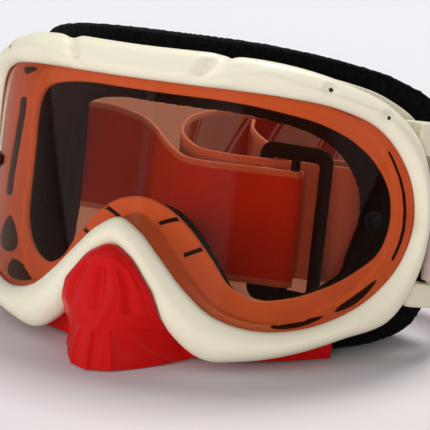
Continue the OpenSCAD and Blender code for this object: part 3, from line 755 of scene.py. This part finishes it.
class GOGGLES_OT_lens(bpy.types.Operator):
    """Make the tinted lens"""
    bl_idname = "goggles.lens"
    bl_label = "Lens"

    def execute(self, context):
        t = stations(24)
        e, r = guide(EDGE, t), guide(RIM, t)
        rim = (e + LENS_BITE * unit(r - e))[:len(e) // 2 + 1]
        k = int(np.argmax(rim[:, 0]))
        end = rim[k, 0] - LENS_END
        u = end * np.sin(np.radians(np.linspace(-90, 90, 181)))
        high = np.interp(np.abs(u), rim[:k + 1, 0], rim[:k + 1, 1])
        low = np.interp(np.abs(u), rim[k:, 0][::-1], rim[k:, 1][::-1])
        s = 0.5 - 0.5 * np.cos(np.linspace(0, np.pi, 40))
        v = low[:, None] + (high - low)[:, None] * s
        front = np.stack([np.broadcast_to(u[:, None], v.shape), v, np.zeros(v.shape)], -1)
        rear = front[:, ::-1] - [0, 0, LENS_T]
        g = wrap(np.concatenate([front, rear], 1))
        piece("lens_sheet", g, "goggles", "tinted_lens", lens_material(look()), ["lens"], tube=True)
        return {"FINISHED"}


# Foam

BASE_T, CORE_T, FLEECE_T = 4.5, 7, 3
# How far the foam's inner side closes in on the eyes in front, between its layers and at the face
CLOSE = [-0.4, 1.35, 3.825, 4.5]
# Where the inner side draws back: below this height and within this way round the lens, each with
# the distance over which it does so
DRAW_Z, DRAW_U = (56, 10), (84, 14)


def foam_ring(front, thick, near, far, crown, nap, seed):
    """A foam layer: an eight-cornered section with rounded corners and a crowned face carried
    round the eye port, then raised along its normals by two sizes of noise. Below the eyes the
    inner side draws back from the port with its depth."""
    t = stations(20)
    q, w = guide(PORT, t), guide(FOAM, t)
    o = unit(w - q)
    back = front - thick
    low = (ease((DRAW_Z[0] - q[:, 1]) / DRAW_Z[1])
           * (1 - ease((np.abs(q[:, 0]) - DRAW_U[0]) / DRAW_U[1])))[:, None]
    near, far = (k * (1 - low) - low * (0.4 - 0.2 * (d + DEPTH + WALL))
                 for k, d in ((near, front), (far, back)))
    a, b = q - near * o, q - far * o
    rows = [(a, front), (w - 0.8 * o, front), (w, front - thick * 0.25),
            (w, front - thick * 0.75), (w - 1.2 * o, back), ((b + w) / 2, back - crown),
            (b + 1.2 * o, back), (b, front - thick * 0.75)]
    high = max(1, round(thick))
    g = rounded(np.stack([deep(*row) for row in rows], 1),
                [(0, 0.7, 14), (1, 0.5, 0), (2, 0.4, high), (3, 0.4, 0), (4, 0.8, 8), (5, 3, 8),
                 (6, 0.5, 0), (7, 0.4, high)])
    points = wrap(g)
    rough = noise(points, 0.9, seed) + 0.5 * noise(points, 0.5, seed + 1)
    return points + normals(points) * (rough * nap)[..., None]


class GOGGLES_OT_foam(bpy.types.Operator):
    """Make the three layers of face foam"""
    bl_idname = "goggles.foam"
    bl_label = "Face foam"

    def execute(self, context):
        nap = sizes().foam_nap * 1000
        front = -DEPTH - WALL - GAP
        foam = foam_material("foam", (0.002, 0.002, 0.0025), (0.006, 0.006, 0.0065), 1100.0, 0.4)
        fleece = foam_material("fleece", (0.002, 0.002, 0.002), (0.006, 0.007, 0.006), 1700.0, 0.5)
        layers = [("foam_base_layer", BASE_T, 0, foam, "foam", "face_foam_base"),
                  ("foam_core_layer", CORE_T, 0, foam, "foam", "face_foam_core"),
                  ("fleece_layer", FLEECE_T, 0.8, fleece, "fleece", "face_fleece")]
        for k, (name, thick, crown, material, slot, node) in enumerate(layers):
            g = foam_ring(front, thick, CLOSE[k], CLOSE[k + 1], crown, nap, 10 * k)
            obj = piece(name, g, "goggles", slot, material, [node])
            front -= thick + GAP
        return {"FINISHED"}


VENT_FOAM_T, VENT_FOAM_W = 2.2, 3


def stretch(first, last, cuts):
    """The lens's edge and the rim's outer edge from first to last, in quarters of a span."""
    i = np.arange(round(first * cuts / 4), round(last * cuts / 4) + 1)
    return (np.take(guide(g, stations(cuts)), i, 0, mode="wrap") for g in (EDGE, RIM))


def vent_strip(first, last):
    """A strip of vent foam along a stretch of the guides: a four-cornered section, each side cut
    at its middle and close to its ends."""
    e, r = stretch(first, last, 10)
    o = unit(r - e)
    a = e + (CHANNEL + GAP) * o
    b = a + VENT_FOAM_W * o
    back = -DEPTH + GAP
    rows = [(a, back + VENT_FOAM_T), (b, back + VENT_FOAM_T), (b, back), (a, back)]
    corners = np.stack([deep(*row) for row in rows], 1)
    f = np.array([0.08, 0.5, 0.92])[:, None]
    sides = corners[:, :, None] * (1 - f) + np.roll(corners, -1, 1)[:, :, None] * f
    return wrap(sides.reshape(len(e), -1, 3))


class GOGGLES_OT_vent_foam(bpy.types.Operator):
    """Make the vent foam strips behind the rim"""
    bl_idname = "goggles.vent_foam"
    bl_label = "Vent foam"

    def execute(self, context):
        foam = bpy.data.materials["foam"]
        strips = [("vent_strip_top", -23, 23, 1, ["vent_foam_top"]),
                  ("vent_strip_bottom_right", 53, 61, 1, ["vent_foam_bottom"]),
                  ("vent_strip_bottom_left", 53, 61, -1, []),
                  ("vent_strip_right", 29, 41, 1, ["vent_foam_right"]),
                  ("vent_strip_left", 29, 41, -1, ["vent_foam_left"])]
        for name, first, last, s, nodes in strips:
            g = vent_strip(first, last) * [s, 1, 1]
            piece(name, g, "goggles", "foam", foam, nodes, tube=True)
        return {"FINISHED"}


# Nose guard

# Rows of the guard: the laps over the rim, the rim's outer edge and the skirt below it
LAP_ROWS, EDGE_ROWS, SKIRT_ROWS = 11, 15, 5
GUARD_DROP = 19.5
GUARD_LOW, GUARD_HIGH = LENS_LOW - GUARD_DROP, 30.05
GUARD_NOSE = 10.5
GUARD_FLARE = 2.6
GUARD_LIFT = 5.5
GUARD_T = 1.8
GUARD_LAP = ([0, 4, 9, 10, 11, 12], [1.4, 2.88, 4, 2.4, -0.25, -0.4])
# Ribs, bead and flutes: heights in millimetres, and widths and places as shares of the half width
RIB_H, BEAD_H, FLUTE_DEPTH = 1.1, 0.3, 1.3
RIB_W, BEAD_W, FLUTE_W = 0.042, 0.035, 0.12
BEAD_AT, FLUTES_AT = 0.94, (0, 0.6)


def guard_edge(k):
    """The guard's edge by row: its height, half width and depth. It laps over the rim's front down
    to row LAP_ROWS, turns round the rim's outer edge and spreads to the lower edge below row
    EDGE_ROWS."""
    at = len(EDGE) - 1 - np.minimum(k, EDGE_ROWS) / 4
    e, r = (hermite(mirrored(g), at) for g in (EDGE, RIM))
    w = 1 - np.interp(k, *GUARD_LAP) / np.linalg.norm(r - e, axis=1)
    p = e + (r - e) * w[:, None]
    t = np.clip((k - EDGE_ROWS) / SKIRT_ROWS, 0, 1)
    z = p[:, 1] * (1 - t) + GUARD_LOW * t
    low = ease((5 - z) / 10)
    half = np.minimum(np.abs(p[:, 0]), 22 + 5 * low)
    over = 1.48 + np.interp((w - 0.45) / 0.55, [0, 0.45, 0.82, 1], [4.8, 4.22, 2.16, -0.6])
    under = -2.4 - 8.1 * low
    return z, half, over + (under - over) * np.clip(k - LAP_ROWS, 0, 1), t


def guard_front(k, s):
    """The guard's front face by row and place across: its middle stands out from its edge by a
    power of the place across. Five ribs, hills in the place across, fan out over the lower half,
    three flutes run down the upper half, and a bead follows the edge."""
    z, half, depth, t = guard_edge(k)
    down = (GUARD_HIGH - z) / (GUARD_HIGH - GUARD_LOW)
    side = wrap(np.stack([half, z, depth], -1))
    swell = 0.5 + 0.35 * np.sin(np.pi / 2 * np.clip(down * 8, 0, 1))
    mid = -GUARD_NOSE * swell - GUARD_FLARE * ease(down * 1.25 - 0.25)
    full = 3.4 - 1.5 * ease(down * 2 - 0.5)
    a, down = np.abs(s)[None, :], down[:, None]
    ribs = sum(bump(a, at, RIB_W) for at in (0, 0.27 + 0.2 * (down - 0.67), down - 0.17))
    flutes = sum(bump(a, at, FLUTE_W) for at in FLUTES_AT)
    relief = (RIB_H * ribs * ease((down - 0.65) * 10)
              + BEAD_H * bump(a, BEAD_AT, BEAD_W) * (down < 0.99)
              - FLUTE_DEPTH * flutes * ease((down - 0.13) * 12) * ease((0.53 - down) * 20))
    y = mid[:, None] + (side[:, 1] - mid)[:, None] * a ** full[:, None] - relief
    s = s[None, :]
    return np.stack([s * side[:, :1], y, z[:, None] + GUARD_LIFT * s * s * t[:, None]], -1)


def guard_shell():
    """The guard: its front face, a rear face set back by its thickness, which falls by a sixth
    power towards the sides, and two round edges, half a sine out from a straight blend."""
    k = np.concatenate([np.linspace(0.5, EDGE_ROWS, 90),
                        np.linspace(EDGE_ROWS, EDGE_ROWS + SKIRT_ROWS, 50)[1:]])
    s = np.sin(np.radians(np.linspace(-90, 90, 161)))
    s = np.where(np.abs(s) > 0.999, s, s * 0.4 + np.linspace(-1, 1, 161) * 0.6)
    front = guard_front(k, s)
    thick = GUARD_T - 0.72 * np.abs(s) ** 6
    rear = front * [1 - GUARD_T * 0.02, 1, 1] + thick[:, None] * [0, 1, 0]
    f = np.array([0.2, 0.5, 0.8])[:, None]
    out = 0.3 * np.sin(np.pi * f) * [1, 0, 0]
    ends = [front[:, j, None] * (1 - f) + rear[:, j, None] * f + way * out
            for j, way in ((-1, 1), (0, -1))]
    return np.concatenate([front, ends[0], rear[:, ::-1], ends[1][:, ::-1]], 1)


# Height of a wing's lower edge by the way round the lens
WING_LOW = ([20, 34, 48, 65, 80, 88, 95], [-6, -5, -4.5, -2.5, -0.5, 3, 11])


def guard_wing():
    """A wing: a four-cornered section along the lower rim, from behind it to its lower edge."""
    e, r = stretch(48, 67, 12)
    top = e + (r - e) * 0.75
    foot = np.stack([r[:, 0], np.interp(r[:, 0], *WING_LOW)], -1)
    back = -DEPTH + GAP
    rows = [(top, -RIM_BACK - 1.5), (foot, back + 2), (foot, back),
            (top + [0, 1], -RIM_BACK - 3.5)]
    return wrap(np.stack([deep(*row) for row in rows], 1))


class GOGGLES_OT_guard(bpy.types.Operator):
    """Make the nose guard and its wings"""
    bl_idname = "goggles.guard"
    bl_label = "Nose guard"

    def execute(self, context):
        red = guard_material(look())
        piece("nose_shield", guard_shell(), "nose_guard", "guard_plastic", red, ["nose_guard"],
              tube=True)
        for s, word in ((1, "right"), (-1, "left")):
            obj = piece("guard_wing_" + word, guard_wing() * [s, 1, 1], "nose_guard",
                        "guard_plastic", red, tube=True)
            bevel = obj.modifiers.new("edge", "BEVEL")
            bevel.width, bevel.segments = 0.0004, 2
        return {"FINISHED"}


# Strap

# The slider's place, and the direction of the webbing through it and square to it, from above
RUN = math.radians(28)
RUN_DIR = np.array([math.cos(RUN), math.sin(RUN)])
RUN_SIDE = np.array([math.sin(RUN), -math.cos(RUN)])
SLIDER_AT = np.array([31.5, 60.0])
FRONT_Z, REAR_Z = 37.5, 40.5
STRAP_T, STRAP_W = 1.3, 41.0
BAR = np.array([89.0, 58.0, 49.0])
BAR_R = 2.2
MID_R = 1.6
CLEAR = 0.25
SLIDER_W, SLIDER_H, SLIDER_T = 30.5, 56.0, 2.8
OUTER_ROUND, INNER_ROUND, CHAMFER = 5, 1.5, 0.55
SIDE_BAR, END_BAR = 4.6, 5.4
FOLD = MID_R + CLEAR + STRAP_T / 2
REAR_N = -FOLD - STRAP_T - CLEAR
BAR_FOLD = BAR_R + CLEAR + STRAP_T / 2


def at_run(along, away, z):
    """A point at the slider: so far along the strap's run and away from its middle to the lens."""
    return [*(SLIDER_AT + along * RUN_DIR + away * RUN_SIDE), z]


def bar_loop(s):
    """The strap's loop round a frame end's bar: two straight layers and a half circle."""
    x = BAR[0] - BAR_FOLD
    turn = [[s * (BAR[0] + BAR_FOLD * math.cos(a)), BAR[1] + BAR_FOLD * math.sin(a), BAR[2]]
            for a in np.radians(np.arange(0, -181, -22.5))]
    return ([[s * (x + STRAP_T + CLEAR), BAR[1] + 24, BAR[2]],
             [s * (x + STRAP_T + CLEAR + 0.6), BAR[1] + 17, BAR[2]]] + turn
            + [[s * x, BAR[1] + 10, BAR[2]], [s * x, BAR[1] + 22, BAR[2]]])


def ribbon(route, curl):
    """Webbing along a route: a thin section with rounded edges, upright, across the direction of
    travel seen from above, with a slight crown, a parabola. Returns the grid, its ways along and
    across the band, and which side of it each point is on."""
    p = np.array(route, float)
    chord = way_along(p)
    t = np.interp(np.arange(0, chord[-1], 0.8), chord, np.arange(len(p)))
    c = hermite(p, t, closed=False)
    d = np.gradient(c, axis=0)
    flat = unit(np.stack([-d[:, 1], d[:, 0], np.zeros(len(d))], -1))
    h, w = STRAP_T / 2, STRAP_W / 2
    v = np.concatenate([np.linspace(-w + 0.5, w - 0.5, 19), [w - 0.12, w, w - 0.12]])
    n = np.concatenate([np.full(19, h), [h * 0.7, 0, -h * 0.7]])
    v, n = np.concatenate([v, -v]), np.concatenate([n, -n])
    crown = curl * (1 - (v / w) ** 2)
    g = c[:, None] + flat[:, None] * (n + crown)[:, None] + [0, 0, 1] * v[:, None]
    side = np.broadcast_to((n > 0).astype(float), g.shape[:2])
    return g, (way_along(c), np.append(v, v[0])), side


# The middle of each band: round its end bar, behind the goggles and through the slider. The front
# band then turns back round the middle bar, and the rear band runs on to its free tail.
FRONT_ROUTE = bar_loop(-1) + [
    [-82, 92, 49], [-72, 99, 48.5], [-56, 97, 46], [-42, 86, 43], [-30, 73, 40.5], [-18, 61, 38.5],
    [-9, 52.5, 37.6], [-1, 47.8, 37.5]] + [
    at_run(along, away, FRONT_Z) for along, away in [
        (-29, -0.95), (-22, -0.75), (-10, 0.65), (-4, FOLD * 0.85)] + [
        (FOLD * math.cos(a), FOLD * math.sin(a)) for a in np.radians(np.arange(90, -91, -22.5))] + [
        (-6, -FOLD), (-12, -FOLD)]]
REAR_ROUTE = bar_loop(1) + [
    [82, 93, 49.5], [70, 101, 50], [50, 106, 51], [30, 116, 51], [10, 129, 51], [-10, 139, 51],
    [-29, 138, 50.5], [-40, 126, 50], [-40, 109, 48.5], [-34, 92, 46.5], [-25, 76, 44],
    [-14, 63.5, 42], [-6, 56.7, 41], [4.5, 53, 40.7]] + [
    at_run(along, REAR_N - away, z) for along, away, z in [
        (-17, 0, REAR_Z), (-8, 0, REAR_Z), (8, 0, REAR_Z), (24, 0, REAR_Z), (29, 4.5, 41),
        (24, 9, 41.5), (8, 9.5, 42), (-5, 10.5, 43)]] + [
    [7, 79, 45.5], [-5, 92, 48], [-14, 108, 50]]


class GOGGLES_OT_strap(bpy.types.Operator):
    """Make the strap's front and rear bands"""
    bl_idname = "goggles.strap"
    bl_label = "Strap"

    def execute(self, context):
        material = webbing_material(look())
        curl = sizes().strap_curl * 1000
        g, uv, side = ribbon(FRONT_ROUTE, -curl)
        red = np.broadcast_to(ease((uv[0] - 56) / 12)[:, None], side.shape)
        front = piece("strap_front_band", g, None, "webbing", material,
                      ["strap_front", "strap_slider_loop"], tube=True, uv=uv,
                      values={"printed": side * 0, "red": red})
        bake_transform(front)
        g, uv, side = ribbon(REAR_ROUTE, curl)
        piece("strap_rear_band", g, "goggles", "webbing", material, ["strap_rear"], tube=True,
              uv=uv, values={"printed": side, "red": side * 0})
        return {"FINISHED"}


def rounded_path(w, h, r, cuts=8):
    """A rounded rectangle in a plane, its four quarter circles joined by straight sides."""
    a = np.radians(np.concatenate([q * 90 + np.linspace(0, 90, cuts) for q in range(4)]))
    q = np.repeat(np.arange(4), cuts)
    sx = np.where((q == 0) | (q == 3), 1, -1)
    sy = np.where(q < 2, 1, -1)
    return np.stack([sx * (w / 2 - r) + r * np.cos(a), sy * (h / 2 - r) + r * np.sin(a)], -1)


def slider_ring():
    """The slider's ring: rounded rectangles joined in turn, outside, front, inside and back, with
    a chamfer between them, and turned until the strap's layers pass its side bars."""
    w, h, t, cut = SLIDER_W, SLIDER_H, SLIDER_T / 2, CHAMFER
    gap_w, gap_h = w - 2 * SIDE_BAR, h - 2 * END_BAR
    outer, inner = rounded_path(w, h, OUTER_ROUND), rounded_path(gap_w, gap_h, INNER_ROUND)
    face_o = rounded_path(w - cut * 2, h - cut * 2, OUTER_ROUND - cut)
    face_i = rounded_path(gap_w + cut * 2, gap_h + cut * 2, INNER_ROUND + cut)
    rings = [(outer, cut - t), (outer, t - cut), (face_o, t), (face_i, t), (inner, t - cut),
             (inner, cut - t), (face_i, -t), (face_o, -t)]
    flat = np.stack([deep(p, d) for p, d in rings], 1)[..., [0, 2, 1]]
    need = MID_R + 3 * CLEAR + 2 * STRAP_T + 0.1
    turn = RUN - math.asin(need / math.hypot(gap_w / 2, t)) - math.atan2(t, gap_w / 2)
    c, s = math.cos(turn), math.sin(turn)
    return flat @ np.array([[c, s, 0], [-s, c, 0], [0, 0, 1]])


class GOGGLES_OT_slider(bpy.types.Operator):
    """Make the slider"""
    bl_idname = "goggles.slider"
    bl_label = "Slider"

    def execute(self, context):
        black = black_material("slider plastic", 0.3)
        middle = np.array([*SLIDER_AT, (FRONT_Z + REAR_Z) / 2])
        ring = piece("slider_ring", slider_ring() + middle, "slider", "slider_plastic", black,
                     ["slider"])
        smooth = ring.modifiers.new("edge", "BEVEL")
        smooth.width, smooth.segments, smooth.limit_method = 0.0003, 2, "ANGLE"
        reach = SLIDER_H / 2 - END_BAR + 1
        piece("slider_middle_bar", rod((0, 0), MID_R, (-reach, reach), 30) + middle, "slider",
              "slider_plastic", black, tube=True)
        return {"FINISHED"}


# Lens posts and strap anchors

# Turned profiles from the lens's front: (radius, distance in front of it)
POST = [(0.01, 0.06), (3.0, 0.06), (3.1, 0.25), (3.0, 0.66), (2.3, 0.76), (1.9, 1.0),
        (1.75, 1.8), (1.8, 2.3), (1.9, 2.8), (1.8, 3.2), (1.2, 3.36), (0.01, 3.36)]
CAP = [(0.01, -1.72), (2.0, -1.72), (2.6, -1.6), (2.7, -1.35), (2.6, -1.08), (0.01, -1.08)]


def turned(profile, arc, height):
    """A profile turned round a line square to the lens: the line's point at each distance plus the
    radius times the cosine and sine of the turn."""
    p, u = np.array(profile), arc / LENS_R
    a = np.radians(np.arange(0, 360, 7.5))
    out = np.array([math.sin(u), -math.cos(u), 0])
    side = np.array([math.cos(u), math.sin(u), 0])
    base = wrap(np.array([arc, height, 0]))
    circle = np.cos(a)[:, None] * side + np.sin(a)[:, None] * [0, 0, 1]
    return base + p[:, 1, None, None] * out + p[:, 0, None, None] * circle


class GOGGLES_OT_posts(bpy.types.Operator):
    """Make the tear-off posts and their caps"""
    bl_idname = "goggles.posts"
    bl_label = "Tear-off posts"

    def execute(self, context):
        black = black_material("post plastic", 0.25)
        for s, word in ((-1, "left"), (1, "right")):
            for kind, profile, node in (("post", POST, "tear_off_post_"),
                                        ("cap", CAP, "post_cap_")):
                piece(f"lens_{kind}_{word}", turned(profile, s * POST_ARC, POST_Z), "goggles",
                      "post_plastic", black, [node + word], tube=True)
        return {"FINISHED"}


EAR_MARGIN = 1.2
EAR_ROUND = 1.6
# Circles that an ear reaches to: (round the lens, distance in front of it, radius)
ROOT = (99.9, -DEPTH * 0.73, 2.4)
SHOULDER_DEPTH, SHOULDER_R = -2.0, 2.0
# The ears above and below the webbing: height, and the shoulder's place round the lens
HIGH_EAR, LOW_EAR = (11, 103), (8, 104)


def ear(low, high, beside):
    """A frame end's ear: seen from above, the farthest of many circles between the bar and a root
    in the channel, and between the bar and a shoulder in the rim, along each ray from the bar;
    drawn in by a quarter circle at its lower and upper edges."""
    a = np.radians(np.arange(0, 360, 4))
    ray = np.stack([np.cos(a), np.sin(a)], -1)
    start = BAR_R + EAR_MARGIN
    far = np.full(len(a), start)
    for spot, depth, radius in (ROOT, (beside, SHOULDER_DEPTH, SHOULDER_R)):
        end = wrap(np.array([spot, 0, depth]))[:2] - BAR[:2]
        t = np.linspace(0, 1, 60)[:, None]
        along = t * (ray @ end)
        inside = (start * (1 - t) + radius * t) ** 2 - (end @ end * t * t - along ** 2)
        reach = np.where(inside > 0, along + np.sqrt(np.maximum(inside, 0)), 0)
        far = np.maximum(far, reach.max(0))
    q = np.radians(np.linspace(0, 90, 7))
    rise = EAR_ROUND * (1 - np.cos(q))
    inset = EAR_ROUND * (1 - np.concatenate([np.sin(q), np.sin(q[::-1])]))
    z = np.concatenate([low + rise, high - rise[::-1]])
    flat = BAR[:2] + ray * (far[None, :, None] - inset[:, None, None])
    return np.concatenate([flat, np.broadcast_to(z[:, None, None], flat.shape[:2] + (1,))], -1)


class GOGGLES_OT_anchors(bpy.types.Operator):
    """Make the strap anchors"""
    bl_idname = "goggles.anchors"
    bl_label = "Strap anchors"

    def execute(self, context):
        shell = bpy.data.materials["ivory shell"]
        top, low = BAR[2] + STRAP_W / 2 + 1, BAR[2] - STRAP_W / 2 - 1
        (high_h, high_at), (low_h, low_at) = HIGH_EAR, LOW_EAR
        parts = (("ear_top", ear(top, top + high_h, high_at)),
                 ("ear_low", ear(low - low_h, low, low_at)),
                 ("bar", rod(BAR[:2], BAR_R, (low - 1, top + 1), 30)))
        for s, word in ((-1, "left"), (1, "right")):
            for part, g in parts:
                piece(f"anchor_{part}_{word}", g * [s, 1, 1], "goggles", "frame_shell", shell,
                      ["strap_anchor_" + word] if part == "bar" else [], tube=True)
        return {"FINISHED"}


# Stage

# Lamps: (name, place, size, watts, colour)
LAMPS = [("key", (-0.2, 1.8, 3.7), 1.3, 138.0, (1.0, 0.98, 0.95)),
         ("fill left", (-0.7, -1.2, 0.33), 0.6, 7.0, (0.98, 0.98, 1.0)),
         ("fill right", (0.55, -1.25, 0.33), 0.6, 6.0, (0.98, 0.98, 1.0))]
# The photograph's camera, solved from points of the outline
FOCAL_MM, SENSOR_MM = 210.33, 36.0
CAMERA = ((0.856551, -0.144381, 0.495454, 0.44262), (0.516063, 0.238945, -0.822548, -0.73469),
          (0.000373, 0.960239, 0.279178, 0.28263), (0, 0, 0, 1))
FLOOR_HALF = 4


class GOGGLES_OT_stage(bpy.types.Operator):
    """Make the floor, the lamps and the camera"""
    bl_idname = "goggles.stage"
    bl_label = "Stage"

    def execute(self, context):
        scene = context.scene
        scene.view_settings.view_transform = "Standard"
        x = np.linspace(-FLOOR_HALF, FLOOR_HALF, 9)
        g = np.stack(np.broadcast_arrays(x[:, None], x[None, :], 0.0), -1)
        floor = surface("floor", g, closed=(False, False))
        floor.data.materials.append(floor_material(look()))
        scene.world = studio_world()
        for name, spot, size, power, tone in LAMPS:
            lamp = bpy.data.lights.new(name, "AREA")
            lamp.size, lamp.energy, lamp.color = size, power, tone
            obj = bpy.data.objects.new(name, lamp)
            aim = (-Vector(spot)).to_track_quat("-Z", "Y").to_matrix().to_4x4()
            obj.matrix_world = Matrix.Translation(spot) @ aim
            obj.visible_glossy = obj.visible_transmission = name == "key"
            scene.collection.objects.link(obj)
        camera = bpy.data.cameras.new("camera")
        camera.lens, camera.sensor_width = FOCAL_MM, SENSOR_MM
        camera.clip_start, camera.clip_end = 0.05, 20
        obj = bpy.data.objects.new("camera", camera)
        obj.matrix_world = Matrix(CAMERA)
        scene.collection.objects.link(obj)
        scene.camera = obj
        return {"FINISHED"}


STEPS = ["stage", "frame", "lens", "foam", "vent_foam", "guard", "strap", "slider", "posts",
         "anchors"]


class GOGGLES_PT_panel(bpy.types.Panel):
    """Lists the goggles' values and steps"""
    bl_idname = "GOGGLES_PT_panel"
    bl_label = "Goggles"
    bl_space_type = "VIEW_3D"
    bl_region_type = "UI"
    bl_category = "Goggles"

    def draw(self, context):
        for values in (look(), sizes()):
            for key in values.bl_rna.properties.keys():
                if key not in ("rna_type", "name"):
                    self.layout.prop(values, key)
        for step in STEPS:
            self.layout.operator("goggles." + step)


CLASSES = [GogglesLook, GogglesSizes, GOGGLES_OT_stage, GOGGLES_OT_frame, GOGGLES_OT_lens,
           GOGGLES_OT_foam, GOGGLES_OT_vent_foam, GOGGLES_OT_guard, GOGGLES_OT_strap,
           GOGGLES_OT_slider, GOGGLES_OT_posts, GOGGLES_OT_anchors, GOGGLES_PT_panel]


def register():
    for item in CLASSES:
        bpy.utils.register_class(item)
    bpy.types.Scene.goggles_look = PointerProperty(type=GogglesLook)
    bpy.types.Scene.goggles_sizes = PointerProperty(type=GogglesSizes)


def unregister():
    del bpy.types.Scene.goggles_look, bpy.types.Scene.goggles_sizes
    for item in reversed(CLASSES):
        bpy.utils.unregister_class(item)


def main():
    register()
    for step in STEPS:
        getattr(bpy.ops.goggles, step)()


if __name__ == "__main__":
    main()
